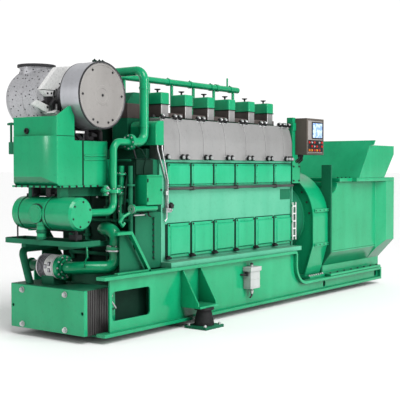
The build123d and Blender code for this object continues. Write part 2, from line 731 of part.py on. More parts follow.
def engine_frame():
    """Engine frame: crankcase on foot flanges, shoulders and cylinder deck, with end flanges."""
    right = [
        (FRAME_FOOT_HALF_WIDTH, RAIL_TOP), (FRAME_FOOT_HALF_WIDTH, RAIL_TOP + FRAME_FOOT_THICKNESS),
        (FRAME_HALF_WIDTH, RAIL_TOP + FRAME_FOOT_THICKNESS), (FRAME_HALF_WIDTH, FRAME_SHOULDER),
        (DECK_HALF_WIDTH, FRAME_SHOULDER), (DECK_HALF_WIDTH, DECK_HEIGHT),
    ]
    left = [(-y, z) for y, z in reversed(right)]
    frame = along(shape(*right, *left), ENGINE_FRONT, ENGINE_REAR)
    half = END_FLANGE_HALF_WIDTH
    foot = RAIL_TOP + FRAME_FOOT_THICKNESS
    frame += block(ENGINE_REAR - END_FLANGE_THICKNESS, ENGINE_REAR, -half, half, foot, END_FLANGE_TOP)
    return frame + block(ENGINE_FRONT, ENGINE_FRONT + END_FLANGE_THICKNESS, -half, half, foot, END_FLANGE_TOP)


def side_panel(x, length, bottom, height, plate, panel, margin, bevel):
    """Cover on the near wall of the frame: a plate with a raised panel and sloped edges."""
    wall = -FRAME_HALF_WIDTH
    half = length / 2
    cover = block(x - half, x + half, wall - plate, wall, bottom, bottom + height)
    half -= margin
    raised = block(
        x - half, x + half, wall - plate - panel, wall - plate, bottom + margin, bottom + height - margin,
    )
    rim = raised.faces().sort_by(Axis.Y)[0].edges()
    return cover + chamfer(rim, bevel)


def crankcase_doors():
    """Inspection doors of the crankcase along both sides."""
    length = PITCH - DOOR_GAP
    doors = [
        side_panel(x, length, DOOR_BOTTOM, DOOR_HEIGHT, DOOR_PLATE, DOOR_PANEL, DOOR_MARGIN, DOOR_BEVEL)
        for x in cylinder_places()
    ]
    return doors + [far_side(door) for door in doors]


def camshaft_covers():
    """Covers of the camshaft space along both sides."""
    length = PITCH - COVER_GAP
    covers = [
        side_panel(x, length, COVER_BOTTOM, COVER_HEIGHT, COVER_PLATE, COVER_PANEL, COVER_MARGIN, COVER_BEVEL)
        for x in cylinder_places()
    ]
    return covers + [far_side(cover) for cover in covers]


def control_shaft():
    """Control shaft along the near wall in its bearing blocks."""
    y = -FRAME_HALF_WIDTH - SHAFT_STAND_OFF
    start = FIRST_CYLINDER - PITCH / 2
    shaft = bar_x(y, SHAFT_HEIGHT, SHAFT_RADIUS, start, ENGINE_REAR - END_FLANGE_THICKNESS)
    half = SHAFT_BEARING_LENGTH / 2
    for cylinder in cylinder_places()[::2]:
        x = cylinder + PITCH / 2
        shaft += bar_x(y, SHAFT_HEIGHT, SHAFT_BEARING_RADIUS, x - half, x + half)
        shaft += block(
            x - half, x + half, y, -FRAME_HALF_WIDTH,
            SHAFT_HEIGHT - SHAFT_BEARING_RADIUS, SHAFT_HEIGHT + SHAFT_BEARING_RADIUS,
        )
    return shaft


def hot_box_panels():
    """Row of sheet panels over the fuel pumps, folded back towards the heads."""
    profile = shape(
        (-HOT_BOX_REACH, FRAME_SHOULDER), (-HOT_BOX_REACH, HOT_BOX_FOLD),
        (-HOT_BOX_REACH + HOT_BOX_LEAN, HOT_BOX_TOP), (-DECK_HALF_WIDTH, HOT_BOX_TOP),
        (-DECK_HALF_WIDTH, FRAME_SHOULDER),
    )
    profile = rounded(profile, (-HOT_BOX_REACH, HOT_BOX_FOLD), HOT_BOX_FOLD_RADIUS)
    seams = [HOT_BOX_FRONT, *cylinder_places(), ENGINE_REAR - HOT_BOX_SHORTFALL]
    panels = [
        along(profile, start + HOT_BOX_SEAM / 2, end - HOT_BOX_SEAM / 2)
        for start, end in zip(seams, seams[1:])
    ]
    crosswise = panels[-1].edges().filter_by(Axis.Y)
    rear_top = crosswise.sort_by(lambda edge: edge.center().X + edge.center().Z)[-1]
    panels[-1] = fillet(rear_top, HOT_BOX_END_RADIUS)
    return panels


def cam_drive_cover():
    """Rounded cover that closes the front of the hot box."""
    cover = block(
        CAM_DRIVE_FRONT, CAM_DRIVE_REAR, -HOT_BOX_REACH, -DECK_HALF_WIDTH / 2,
        CAM_DRIVE_BOTTOM, CAM_DRIVE_TOP,
    )
    front_top = cover.edges().filter_by(Axis.Y).sort_by(lambda edge: edge.center().Z - edge.center().X)[-1]
    return fillet(front_top, CAM_DRIVE_RADIUS)


def cylinder_heads():
    """One head block over each cylinder."""
    half = HEAD_LENGTH / 2
    return [
        block(x - half, x + half, -DECK_HALF_WIDTH, DECK_HALF_WIDTH, DECK_HEIGHT, HEAD_TOP)
        for x in cylinder_places()
    ]


def rocker_box(x, margin, bottom, top):
    """Box with rounded upright edges on a cylinder head."""
    half = ROCKER_LENGTH / 2 - margin
    far = ROCKER_WIDTH - DECK_HALF_WIDTH - margin
    box = block(x - half, x + half, margin - DECK_HALF_WIDTH, far, bottom, top)
    return fillet(box.edges().filter_by(Axis.Z), ROCKER_RADIUS)


def rocker_bases():
    """Lower half of each rocker cover."""
    return [rocker_box(x, ROCKER_BASE_MARGIN, HEAD_TOP, ROCKER_SPLIT) for x in cylinder_places()]


def rocker_covers():
    """Upper half of each rocker cover."""
    covers = []
    for x in cylinder_places():
        cover = rocker_box(x, 0, ROCKER_SPLIT, ROCKER_TOP)
        covers.append(chamfer(cover.faces().sort_by(Axis.Z)[-1].edges(), ROCKER_TOP_BEVEL))
    return covers


def rocker_knobs():
    """Hand knob that clamps each rocker cover."""
    head = KNOB_STEM_HEIGHT + KNOB_HEAD_HEIGHT
    outline = shape(
        (0, 0), (KNOB_STEM_RADIUS, 0), (KNOB_STEM_RADIUS, KNOB_STEM_HEIGHT),
        (KNOB_HEAD_RADIUS, head - KNOB_HEAD_HEIGHT / 2), (KNOB_HEAD_RADIUS, head), (0, head),
    )
    knob = revolve(Plane.XZ * outline, Axis.Z)
    y = ROCKER_WIDTH / 2 - DECK_HALF_WIDTH
    return [Pos(x, y, ROCKER_TOP) * knob for x in cylinder_places()]


def exhaust_manifold():
    """Lagged exhaust manifold along the far side of the heads."""
    box = block(
        ENGINE_FRONT, ENGINE_REAR - MANIFOLD_SHORTFALL, DECK_HALF_WIDTH, DECK_HALF_WIDTH + MANIFOLD_DEPTH,
        MANIFOLD_BOTTOM, MANIFOLD_BOTTOM + MANIFOLD_HEIGHT,
    )
    return fillet(box.edges().filter_by(Axis.X).sort_by(Axis.Y)[-2:], MANIFOLD_RADIUS)


def exhaust_duct():
    """Lagged duct from the manifold to the turbine casing."""
    return bar_x(DUCT_REACH, DUCT_HEIGHT, DUCT_RADIUS, TURBO_X, ENGINE_FRONT) - turbine_casing()


def water_manifold():
    """Water outlet manifold over the heads: a branch from each, a collar and a vent."""
    tail = LAST_CYLINDER + WATER_MANIFOLD_TAIL
    y = WATER_MANIFOLD_REACH
    z = WATER_MANIFOLD_HEIGHT
    points = [(tail, y, z), (TALL_PIPE_X, y, z), (TALL_PIPE_X, WATER_JOINT_REACH, z)]
    manifold = pipe(points, WATER_MANIFOLD_RADIUS, TALL_PIPE_BEND)
    for x in cylinder_places():
        manifold += bar_z(x - WATER_BRANCH_SETBACK, y, WATER_BRANCH_RADIUS, HEAD_TOP, z)
    vent = LAST_CYLINDER - PITCH / 2
    manifold += bar_z(vent, y, WATER_VENT_RADIUS, z, z + WATER_MANIFOLD_RADIUS + WATER_VENT_HEIGHT)
    collar = vent - PITCH / 2
    return manifold + bar_x(y, z, WATER_COLLAR_RADIUS, collar - WATER_COLLAR_LENGTH, collar)


def tall_water_pipe():
    """Pipe from the manifold, down beside the hot box to the flanged joint."""
    x = TALL_PIPE_X
    y = -TALL_PIPE_REACH
    joint = PIPE_JOINT_X
    points = [
        (x, WATER_JOINT_REACH, WATER_MANIFOLD_HEIGHT), (x, y, WATER_MANIFOLD_HEIGHT),
        (x, y, TALL_PIPE_FOOT), (joint, y, TALL_PIPE_FOOT),
    ]
    run = pipe(points, TALL_PIPE_RADIUS, TALL_PIPE_BEND)
    return run + bar_x(y, TALL_PIPE_FOOT, PIPE_FLANGE_RADIUS, joint, joint + PIPE_FLANGE_THICKNESS)


def low_water_pipe():
    """Pipe from the flanged joint down to the oil filter drum."""
    x = LOW_PIPE_X
    y = -TALL_PIPE_REACH
    joint = PIPE_JOINT_X
    points = [
        (joint, y, TALL_PIPE_FOOT), (x, y, TALL_PIPE_FOOT), (x, y, DRUM_HEIGHT), (DRUM_X, y, DRUM_HEIGHT),
    ]
    run = pipe(points, LOW_PIPE_RADIUS, LOW_PIPE_BEND)
    run += bar_x(y, TALL_PIPE_FOOT, PIPE_FLANGE_RADIUS, joint - PIPE_FLANGE_THICKNESS, joint)
    return run - oil_filter_drum()


def turned_y(x, z, *outline):
    """Body turned about an axis along Y, from points of radius and Y."""
    face = Plane((x, 0, z), x_dir=(1, 0, 0), z_dir=(0, 0, 1)) * shape(*outline)
    return revolve(face, Axis((x, 0, z), (0, 1, 0)))


def turbo_silencer():
    """Air intake silencer: a drum with a rimmed end disc."""
    disc = SILENCER_RADIUS - SILENCER_RIM
    face = -SILENCER_REACH
    return turned_y(
        TURBO_X, TURBO_HEIGHT,
        (0, face + SILENCER_RECESS), (disc, face + SILENCER_RECESS), (disc, face),
        (SILENCER_RADIUS, face), (SILENCER_RADIUS, SILENCER_BACK - SILENCER_ROUND),
        (SILENCER_RADIUS - SILENCER_ROUND, SILENCER_BACK), (0, SILENCER_BACK),
    )


def turbo_compressor():
    """Compressor casing and bearing neck between silencer and turbine."""
    shoulder = VOLUTE_RADIUS - SILENCER_ROUND
    return turned_y(
        TURBO_X, TURBO_HEIGHT,
        (0, SILENCER_BACK), (shoulder, SILENCER_BACK), (VOLUTE_RADIUS, (SILENCER_BACK + VOLUTE_END) / 2),
        (shoulder, VOLUTE_END), (NECK_RADIUS, VOLUTE_END), (NECK_RADIUS, TURBINE_START), (0, TURBINE_START),
    )


def turbine_casing():
    """Lagged turbine casing with its upright outlet branch, bored from above."""
    start = TURBINE_START
    end = TURBINE_END
    radius = TURBINE_RADIUS
    turn = TURBINE_ROUND
    cut = turn * TURBINE_ROUND_SHARE
    casing = turned_y(
        TURBO_X, TURBO_HEIGHT,
        (0, start), (radius - turn, start), (radius - cut, start + cut), (radius, start + turn),
        (radius, end - turn), (radius - cut, end - cut), (radius - turn, end), (0, end),
    )
    collar = OUTLET_HEIGHT - OUTLET_FLANGE_THICKNESS
    casing += bar_z(TURBO_X, OUTLET_REACH, OUTLET_RADIUS, TURBO_HEIGHT, collar)
    bore = bar_z(TURBO_X, OUTLET_REACH, OUTLET_BORE_RADIUS, OUTLET_HEIGHT - OUTLET_BORE_DEPTH, OUTLET_HEIGHT)
    return casing - bore


def exhaust_flange():
    """Drilled flange of the exhaust outlet."""
    low = OUTLET_HEIGHT - OUTLET_FLANGE_THICKNESS
    ring = Circle(OUTLET_FLANGE_RADIUS) - Circle(OUTLET_BORE_RADIUS)
    ring -= PolarLocations(OUTLET_HOLE_CIRCLE / 2, OUTLET_HOLES) * Circle(OUTLET_HOLE_DIAMETER / 2)
    return Pos(TURBO_X, OUTLET_REACH, 0) * upward(ring, low, OUTLET_HEIGHT)


def turbo_shields():
    """Flat heat shields against the bearing neck."""
    middle = (VOLUTE_END + TURBINE_START) / 2
    stand = NECK_RADIUS + SHIELD_THICKNESS / 2
    shields = []
    for angle in SHIELD_ANGLES:
        place = Pos(
            TURBO_X + stand * cos(radians(angle)), middle, TURBO_HEIGHT + stand * sin(radians(angle)),
        )
        shields.append(place * Rot(0, 90 - angle, 0) * Box(SHIELD_LENGTH, SHIELD_WIDTH, SHIELD_THICKNESS))
    return shields


def turbo_pedestal():
    """Pedestal that carries the turbocharger on the charge air cooler."""
    half = PEDESTAL_LENGTH / 2
    stand = block(
        TURBO_X - half, TURBO_X + half, SILENCER_BACK + SILENCER_CLEARANCE, PEDESTAL_FAR_REACH,
        AIR_COOLER_SHELF, TURBO_HEIGHT,
    )
    stand -= turbine_casing() + turbo_compressor()
    for shield in turbo_shields():
        stand -= shield
    return stand.solids().sort_by(Axis.Z)[0]


def air_cooler_cover(front):
    """Raised cover on the front of the charge air cooler, with sloped edges."""
    half = AIR_COOLER_HALF_WIDTH
    low = AIR_COOLER_BOTTOM + AIR_COOLER_CHAMFER
    top = AIR_COOLER_SHELF + AIR_COVER_RISE
    rim = shape((-half, low), (half, low), (half, top), (-half, top))
    near = AIR_COVER_NEAR_SLOPE - half
    far = half - AIR_COVER_FAR_SLOPE
    foot = low + AIR_COVER_FOOT_SLOPE
    face = shape((near, foot), (far, foot), (far, top), (near, top))
    return loft([Plane.YZ.offset(front - AIR_COVER_PROUD) * face, Plane.YZ.offset(front) * rim], ruled=True)


def charge_air_cooler():
    """Charge air cooler: a stepped box with a front cover, a near wing and a duct to the engine."""
    front = BASE_FRONT - AIR_COOLER_LEAD
    back = BASE_FRONT + AIR_COOLER_BACK
    head = front + AIR_COOLER_HEAD_LENGTH
    half = AIR_COOLER_HALF_WIDTH
    body = across(
        shape(
            (front, AIR_COOLER_BOTTOM), (back, AIR_COOLER_BOTTOM), (back, AIR_COOLER_SHELF),
            (head, AIR_COOLER_SHELF), (head, AIR_COOLER_TOP), (front, AIR_COOLER_TOP),
        ),
        -half, half,
    )
    body = fillet(body.edges().filter_by(Axis.Z).group_by(Axis.X)[-1], AIR_COOLER_ROUND)
    keel = body.edges().filter_by(Axis.Y).sort_by(lambda edge: edge.center().X + edge.center().Z)[0]
    body = chamfer(keel, AIR_COOLER_CHAMFER)
    wing = shape(
        (front, AIR_COOLER_SHELF), (head, AIR_COOLER_SHELF), (head, AIR_COOLER_WING_TOP),
        (head - AIR_COOLER_WING_FLAT, AIR_COOLER_WING_TOP), (front, AIR_COOLER_TOP),
    )
    wing -= Pos(TURBO_X, TURBO_HEIGHT) * Circle(SILENCER_RADIUS + SILENCER_CLEARANCE)
    body += across(wing, -half, AIR_COOLER_WING_THICKNESS - half)
    body += air_cooler_cover(front)
    duct = AIR_DUCT_HALF_WIDTH
    return body + block(
        back - AIR_COOLER_ROUND, FRONT_END_FACE, -duct, duct, AIR_COOLER_BOTTOM, FRAME_SHOULDER,
    )


def cooler_console():
    """Console under the charge air cooler, on the engine's front end."""
    half = CONSOLE_HALF_WIDTH
    return block(
        DRUM_X + CONSOLE_SETBACK, FRONT_END_FACE, -half, half,
        AIR_COOLER_BOTTOM - CONSOLE_DEPTH, AIR_COOLER_BOTTOM,
    )


def front_top_box():
    """Box on the deck ahead of the first head, with a bevelled front."""
    front = ENGINE_FRONT - TOP_BOX_LEAD
    half = TOP_BOX_WIDTH / 2
    top = DECK_HEIGHT + TOP_BOX_HEIGHT
    box = block(front, front + TOP_BOX_LENGTH, -half, half, DECK_HEIGHT, top)
    crosswise = box.edges().filter_by(Axis.Y)
    return chamfer(crosswise.sort_by(lambda edge: edge.center().Z - edge.center().X)[-1], TOP_BOX_BEVEL)


def front_end_casing():
    """Front end of the engine: wide gear case below, narrower casing above."""
    gear = block(
        FRONT_END_FACE, ENGINE_FRONT, -GEAR_CASE_HALF_WIDTH, GEAR_CASE_HALF_WIDTH, RAIL_TOP, GEAR_CASE_TOP,
    )
    middle = ENGINE_FRONT - GEAR_FLANGE_LEAD
    gear += block(
        middle - GEAR_FLANGE_THICKNESS / 2, middle + GEAR_FLANGE_THICKNESS / 2,
        -GEAR_FLANGE_HALF_WIDTH, GEAR_FLANGE_HALF_WIDTH,
        RAIL_TOP + GEAR_FLANGE_LIFT, GEAR_CASE_TOP - GEAR_FLANGE_DROP,
    )
    return gear + block(
        FRONT_END_FACE, ENGINE_FRONT, -FRONT_END_HALF_WIDTH, FRONT_END_HALF_WIDTH, RAIL_TOP, FRAME_SHOULDER,
    )


def front_bracket():
    """Near bracket on the rail beside the gear case: a raking plate with a rim."""
    front = BASE_FRONT + FRONT_BRACKET_SETBACK
    top = RAIL_TOP + FRONT_BRACKET_HEIGHT
    outline = shape(
        (front, RAIL_TOP), (front + FRONT_BRACKET_FOOT, RAIL_TOP),
        (front + FRONT_BRACKET_HEAD, top), (front, top),
    )
    inside = offset(outline, -FRONT_BRACKET_RIM, kind=Kind.INTERSECTION)
    rim = across(outline - inside, -FRAME_FOOT_HALF_WIDTH, -GEAR_CASE_HALF_WIDTH)
    middle = -(FRAME_FOOT_HALF_WIDTH + GEAR_CASE_HALF_WIDTH) / 2
    return rim + across(outline, middle - FRONT_BRACKET_WEB / 2, middle + FRONT_BRACKET_WEB / 2)


def junction_cabinet():
    """Junction cabinet on the near face of the front end."""
    front = FRONT_END_FACE + CABINET_SETBACK
    wall = -FRONT_END_HALF_WIDTH
    box = block(
        front, front + CABINET_LENGTH, wall - CABINET_DEPTH, wall,
        CABINET_BOTTOM, CABINET_BOTTOM + CABINET_HEIGHT,
    )
    return fillet(box.faces().sort_by(Axis.Y)[0].edges(), CABINET_ROUND)


def fuel_pipe():
    """Fuel pipe under the junction cabinet, with a flange on its front end."""
    wall = -FRONT_END_HALF_WIDTH
    y = wall - FUEL_PIPE_STAND_OFF
    z = CABINET_BOTTOM - FUEL_PIPE_GAP - FUEL_PIPE_RADIUS
    front = FRONT_END_FACE - FUEL_PIPE_LEAD
    rear = FRONT_END_FACE + FUEL_PIPE_RUN
    run = pipe([(front, y, z), (rear, y, z), (rear, wall, z)], FUEL_PIPE_RADIUS, FUEL_PIPE_BEND)
    return run + bar_x(y, z, FUEL_FLANGE_RADIUS, front, front + FUEL_FLANGE_THICKNESS)


def leak_pipes():
    """Two thin leak-oil pipes from the cam-drive cover down to a block on the frame."""
    top = CAM_DRIVE_BOTTOM
    neck = top - LEAK_PIPE_NECK
    bend = neck - LEAK_PIPE_SLANT
    foot = FRAME_SHOULDER - LEAK_BLOCK_DROP
    wall = -FRAME_HALF_WIDTH
    start = CAM_DRIVE_FRONT + LEAK_PIPE_SETBACK
    end = start + LEAK_PIPE_RUN
    half = LEAK_BLOCK_LENGTH / 2
    pipes = block(end - half, end + half, wall - LEAK_BLOCK_DEPTH, wall, foot, foot + LEAK_BLOCK_HEIGHT)
    for number in range(LEAK_PIPES):
        y = wall - LEAK_PIPE_STAND_OFF - LEAK_PIPE_SPREAD * number
        x = start + LEAK_PIPE_SPACING * number
        points = [(x, y, top), (x, y, neck), (end, y, bend), (end, y, foot + LEAK_BLOCK_HEIGHT / 2)]
        pipes += pipe(points, LEAK_PIPE_RADIUS, LEAK_PIPE_BEND)
    return pipes


def drum_place(share):
    """Y of a place along the drum, as a share of its length."""
    return DRUM_LENGTH * share - DRUM_NEAR_REACH


def oil_filter_drum():
    """Oil filter drum across the front, with bands, domed ends and a front boss."""
    near = drum_place(0)
    far = near + DRUM_LENGTH
    shoulder = DRUM_RADIUS - DRUM_DOME
    drum = turned_y(
        DRUM_X, DRUM_HEIGHT,
        (0, near), (shoulder, near), (DRUM_RADIUS, near + DRUM_DOME), (DRUM_RADIUS, far - DRUM_DOME),
        (shoulder, far), (0, far),
    )
    half = DRUM_BAND_WIDTH / 2
    for share in DRUM_BAND_SHARES:
        place = drum_place(share)
        drum += bar_y(DRUM_X, DRUM_HEIGHT, DRUM_BAND_RADIUS, place - half, place + half)
    boss = drum_place(DRUM_BOSS_SHARE)
    return drum + bar_x(boss, DRUM_HEIGHT, DRUM_BOSS_RADIUS, DRUM_X - DRUM_BOSS_REACH, DRUM_X)


def drum_valve():
    """Drain valve that hangs from the front of the drum over the tray."""
    top = DRUM_HEIGHT - VALVE_DROP
    bottom = TRAY_FLOOR + TRAY_DEPTH + VALVE_CLEARANCE
    valve = bar_z(DRUM_X - VALVE_LEAD, drum_place(VALVE_SHARE), VALVE_RADIUS, bottom, top)
    return valve - oil_filter_drum()


def drum_saddles():
    """Saddles that hang the drum under the charge air cooler."""
    drum = oil_filter_drum()
    half = SADDLE_LENGTH / 2
    saddles = []
    for share in SADDLE_SHARES:
        place = drum_place(share)
        saddle = block(
            DRUM_X - half, DRUM_X + half, place - SADDLE_WIDTH / 2, place + SADDLE_WIDTH / 2,
            DRUM_HEIGHT, AIR_COOLER_BOTTOM,
        )
        saddles.append((saddle - drum).solids().sort_by(Axis.Z)[-1])
    return saddles


def drip_tray():
    """Shallow tray under the drum on two arms from the gear case."""
    front = BASE_FRONT - TRAY_LEAD
    back = BASE_FRONT + TRAY_BACK
    middle = Pos((front + back) / 2, (TRAY_FAR_REACH - TRAY_NEAR_REACH) / 2)
    plan = middle * Rectangle(back - front, TRAY_FAR_REACH + TRAY_NEAR_REACH)
    plan = fillet(plan.vertices().group_by(Axis.X)[0], TRAY_RADIUS)
    tray = upward(plan, TRAY_FLOOR, TRAY_FLOOR + TRAY_DEPTH)
    tray -= upward(
        offset(plan, -TRAY_WALL), TRAY_FLOOR + TRAY_WALL, TRAY_FLOOR + TRAY_DEPTH + OVERRUN,
    )
    for side in (-TRAY_ARM_REACH, TRAY_ARM_REACH):
        tray += block(
            front + TRAY_RADIUS, FRONT_END_FACE, side - TRAY_ARM_WIDTH / 2, side + TRAY_ARM_WIDTH / 2,
            TRAY_FLOOR - TRAY_ARM_DEPTH, TRAY_FLOOR,
        )
    return tray


def water_pump():
    """Motor of the pump, across the front."""
    motor = bar_y(PUMP_X, PUMP_HEIGHT, PUMP_RADIUS, PUMP_CASING_END, PUMP_MOTOR_END)
    far_rim = motor.edges().filter_by(GeomType.CIRCLE).sort_by(Axis.Y)[-1]
    return chamfer(far_rim, PUMP_BEVEL)


def pump_ends():
    """Pump casing at the near end of the motor and the tail at its far end."""
    casing = bar_y(PUMP_X, PUMP_HEIGHT, PUMP_CASING_RADIUS, -PUMP_FACE_REACH, PUMP_CASING_END)
    tail_end = PUMP_MOTOR_END + PUMP_TAIL_LENGTH
    return [casing, bar_y(PUMP_X, PUMP_HEIGHT, PUMP_TAIL_RADIUS, PUMP_MOTOR_END, tail_end)]


def pump_base():
    """Block that carries the pump on the plate cooler."""
    half = PUMP_BASE_LENGTH / 2
    start = PUMP_CASING_END + PUMP_BASE_SETBACK
    stand = block(PUMP_X - half, PUMP_X + half, start, start + PUMP_BASE_WIDTH, COOLER_TOP, PUMP_HEIGHT)
    return (stand - water_pump()).solids().sort_by(Axis.Z)[0]


def pump_pipe():
    """Pump delivery: aslant across the front, up and back into the engine's front end."""
    x = FRONT_END_FACE - PUMP_PIPE_LEAD
    y = PUMP_PIPE_RADIUS + PUMP_PIPE_GAP - GEAR_CASE_HALF_WIDTH
    top = DRUM_HEIGHT - PUMP_PIPE_DROP
    points = [
        (PUMP_X, -PUMP_FACE_REACH, PUMP_HEIGHT), (PUMP_X, -PUMP_FACE_REACH - PUMP_PIPE_NECK, PUMP_HEIGHT),
        (x, y, PUMP_HEIGHT), (x, y, top),
        (x, -PUMP_PIPE_RETURN, top), (FRONT_END_FACE, -PUMP_PIPE_RETURN, top),
    ]
    run = pipe(points, PUMP_PIPE_RADIUS, PUMP_PIPE_BEND)
    joint = PUMP_HEIGHT + PUMP_FLANGE_RISE
    half = PIPE_FLANGE_THICKNESS
    return run + bar_z(x, y, PUMP_FLANGE_RADIUS, joint - half, joint + half)


def drain_pipe():
    """Raking pipe from the plate cooler up to the gear case."""
    x = BASE_FRONT - DRAIN_LEAD
    y = GEAR_CASE_HALF_WIDTH - DRAIN_RADIUS - DRAIN_GAP
    points = [
        (x, DRAIN_FOOT_REACH, COOLER_TOP), (x, y, DRAIN_HEIGHT), (FRONT_END_FACE, y, DRAIN_HEIGHT),
    ]
    run = pipe(points, DRAIN_RADIUS, DRAIN_BEND)
    return run - cooler_plates()


def panel_post():
    """Post on the rear end of the engine that carries the control panel."""
    foot = FRAME_SHOULDER - POST_DROP
    far = POST_DEPTH - POST_REACH
    post = block(ENGINE_REAR, ENGINE_REAR + POST_LENGTH, -POST_REACH, far, foot, foot + POST_HEIGHT)
    return post + block(
        ENGINE_REAR, ENGINE_REAR + POST_FOOT_LENGTH, -POST_REACH, POST_FOOT_DEPTH - POST_REACH,
        foot, foot + POST_FOOT_HEIGHT,
    )


def control_panel():
    """Control panel box with a recessed face."""
    start = ENGINE_REAR + POST_LENGTH
    top = PANEL_BOTTOM + PANEL_HEIGHT
    box = block(start, start + PANEL_LENGTH, -PANEL_REACH, PANEL_DEPTH - PANEL_REACH, PANEL_BOTTOM, top)
    box = fillet(box.faces().sort_by(Axis.Y)[0].edges(), PANEL_ROUND)
    lip = PANEL_ROUND + PANEL_LIP
    return box - block(
        start + lip, start + PANEL_LENGTH - lip, -PANEL_REACH - OVERRUN, PANEL_RECESS - PANEL_REACH,
        PANEL_BOTTOM + lip, top - lip,
    )


def neck_housing():
    """Round housing between the engine and the flywheel guard."""
    return bar_x(0, CRANK_HEIGHT, NECK_HOUSING_RADIUS, ENGINE_REAR, GUARD_FRONT)


def cable_ladder():
    """Short cable ladder on the end flange of the engine."""
    y = -END_FLANGE_HALF_WIDTH
    start = ENGINE_REAR - END_FLANGE_THICKNESS
    top = LADDER_BOTTOM + LADDER_HEIGHT
    end = start + LADDER_WIDTH
    ladder = block(start, start + LADDER_BAR, y - LADDER_BAR, y, LADDER_BOTTOM, top)
    ladder += block(end - LADDER_BAR, end, y - LADDER_BAR, y, LADDER_BOTTOM, top)
    step = LADDER_HEIGHT / LADDER_RUNGS
    for number in range(LADDER_RUNGS):
        z = LADDER_BOTTOM + step * number + step / 2
        ladder += block(start, end, y - LADDER_BAR, y, z - LADDER_BAR / 2, z + LADDER_BAR / 2)
    return ladder


def guard_face(inset):
    """End face of the flywheel guard: a disc over upright sides and a skirt that leans in."""
    half = GUARD_RADIUS - inset
    knee = CRANK_HEIGHT - GUARD_SIDE_DROP
    skirt = GUARD_SKIRT_HALF_WIDTH - inset
    foot = LOW_RAIL_TOP + GUARD_FOOT_THICKNESS + inset
    right = [(skirt, foot), (half, knee), (half, CRANK_HEIGHT)]
    left = [(-y, z) for y, z in reversed(right)]
    return Pos(0, CRANK_HEIGHT) * Circle(half) + shape(*right, *left)


def flywheel_guard():
    """Guard over the flywheel: a rim round its front face, joint straps and a foot flange."""
    guard = along(guard_face(0), GUARD_FRONT, GUARD_REAR)
    guard -= along(guard_face(GUARD_RIM), GUARD_FRONT - OVERRUN, GUARD_FRONT + GUARD_RECESS)
    guard += bar_x(0, CRANK_HEIGHT, NECK_HOUSING_RADIUS, GUARD_FRONT, GUARD_FRONT + GUARD_RECESS)
    foot = GUARD_FOOT_HALF_WIDTH
    guard += block(GUARD_FRONT, GUARD_REAR, -foot, foot, LOW_RAIL_TOP, LOW_RAIL_TOP + GUARD_FOOT_THICKNESS)
    inner = GUARD_RADIUS - GUARD_STRAP_DEPTH
    outer = GUARD_RADIUS + GUARD_STRAP_PROUD
    half = GUARD_STRAP_HEIGHT / 2
    for height in (CRANK_HEIGHT - GUARD_SIDE_DROP, CRANK_HEIGHT + GUARD_STRAP_RISE):
        strap = block(GUARD_FRONT + GUARD_RECESS, GUARD_REAR, -outer, -inner, height - half, height + half)
        guard += strap
        guard += far_side(strap)
    return guard


def alternator_outline(half, sill):
    """Cross-section of the alternator: upright sides over a keel that rakes in."""
    keel = ALTERNATOR_KEEL_HALF_WIDTH
    keel_top = LOW_RAIL_TOP + ALTERNATOR_KEEL_HEIGHT
    right = [(keel, LOW_RAIL_TOP), (keel, keel_top), (half, sill), (half, ALTERNATOR_TOP)]
    return shape(*right, *[(-y, z) for y, z in reversed(right)])


def alternator_body():
    """Alternator casing with feet on the low rails, flared at the rear."""
    flare = REAR_END - ALTERNATOR_FLARE_LENGTH
    half = ALTERNATOR_HALF_WIDTH
    body = along(alternator_outline(half, ALTERNATOR_SILL), ALTERNATOR_FRONT, flare)
    wide = ALTERNATOR_FLARE_HALF_WIDTH
    slope = ALTERNATOR_FLARE_SLOPE
    plan = shape(
        (flare, -half), (flare, half), (flare + slope, wide), (REAR_END, wide),
        (REAR_END, -wide), (flare + slope, -wide),
    )
    flared = along(alternator_outline(wide, ALTERNATOR_SILL + ALTERNATOR_FLARE_RISE), flare, REAR_END)
    body += flared & upward(plan, LOW_RAIL_TOP, ALTERNATOR_TOP)
    foot = ALTERNATOR_FOOT_HALF_WIDTH
    body += block(
        ALTERNATOR_FRONT, BASE_REAR, -foot, foot, LOW_RAIL_TOP, LOW_RAIL_TOP + ALTERNATOR_FOOT_THICKNESS,
    )
    for side in (-half, half):
        body -= bar_y(
            ALTERNATOR_FRONT, ALTERNATOR_TOP, ALTERNATOR_NOTCH_RADIUS,
            side - ALTERNATOR_NOTCH_RADIUS, side + ALTERNATOR_NOTCH_RADIUS,
        )
    return body


def alternator_end_shield():
    """Front end shield of the alternator with lifting lugs."""
    half = ALTERNATOR_HALF_WIDTH
    outline = alternator_outline(half, ALTERNATOR_SILL) - Pos(0, ALTERNATOR_TOP) * Rectangle(
        half * 2 + OVERRUN, SHIELD_END_DROP * 2,
    )
    shield = along(outline, GUARD_REAR, ALTERNATOR_FRONT)
    for side in (-half, half - LUG_WIDTH):
        shield += block(
            GUARD_REAR, ALTERNATOR_FRONT, side, side + LUG_WIDTH, SHIELD_END_TOP, SHIELD_END_TOP + LUG_HEIGHT,
        )
    return shield


def alternator_roof():
    """Roof plate of the alternator, wider over the flare."""
    half = ALTERNATOR_HALF_WIDTH + ROOF_OVERHANG
    start = ALTERNATOR_FRONT + ALTERNATOR_NOTCH_RADIUS
    roof = block(start, REAR_END, -half, half, ALTERNATOR_TOP, ROOF_TOP)
    wide = ALTERNATOR_FLARE_HALF_WIDTH
    return roof + block(HOOD_FRONT - ROOF_APRON, REAR_END, -wide, wide, ALTERNATOR_TOP, ROOF_TOP)


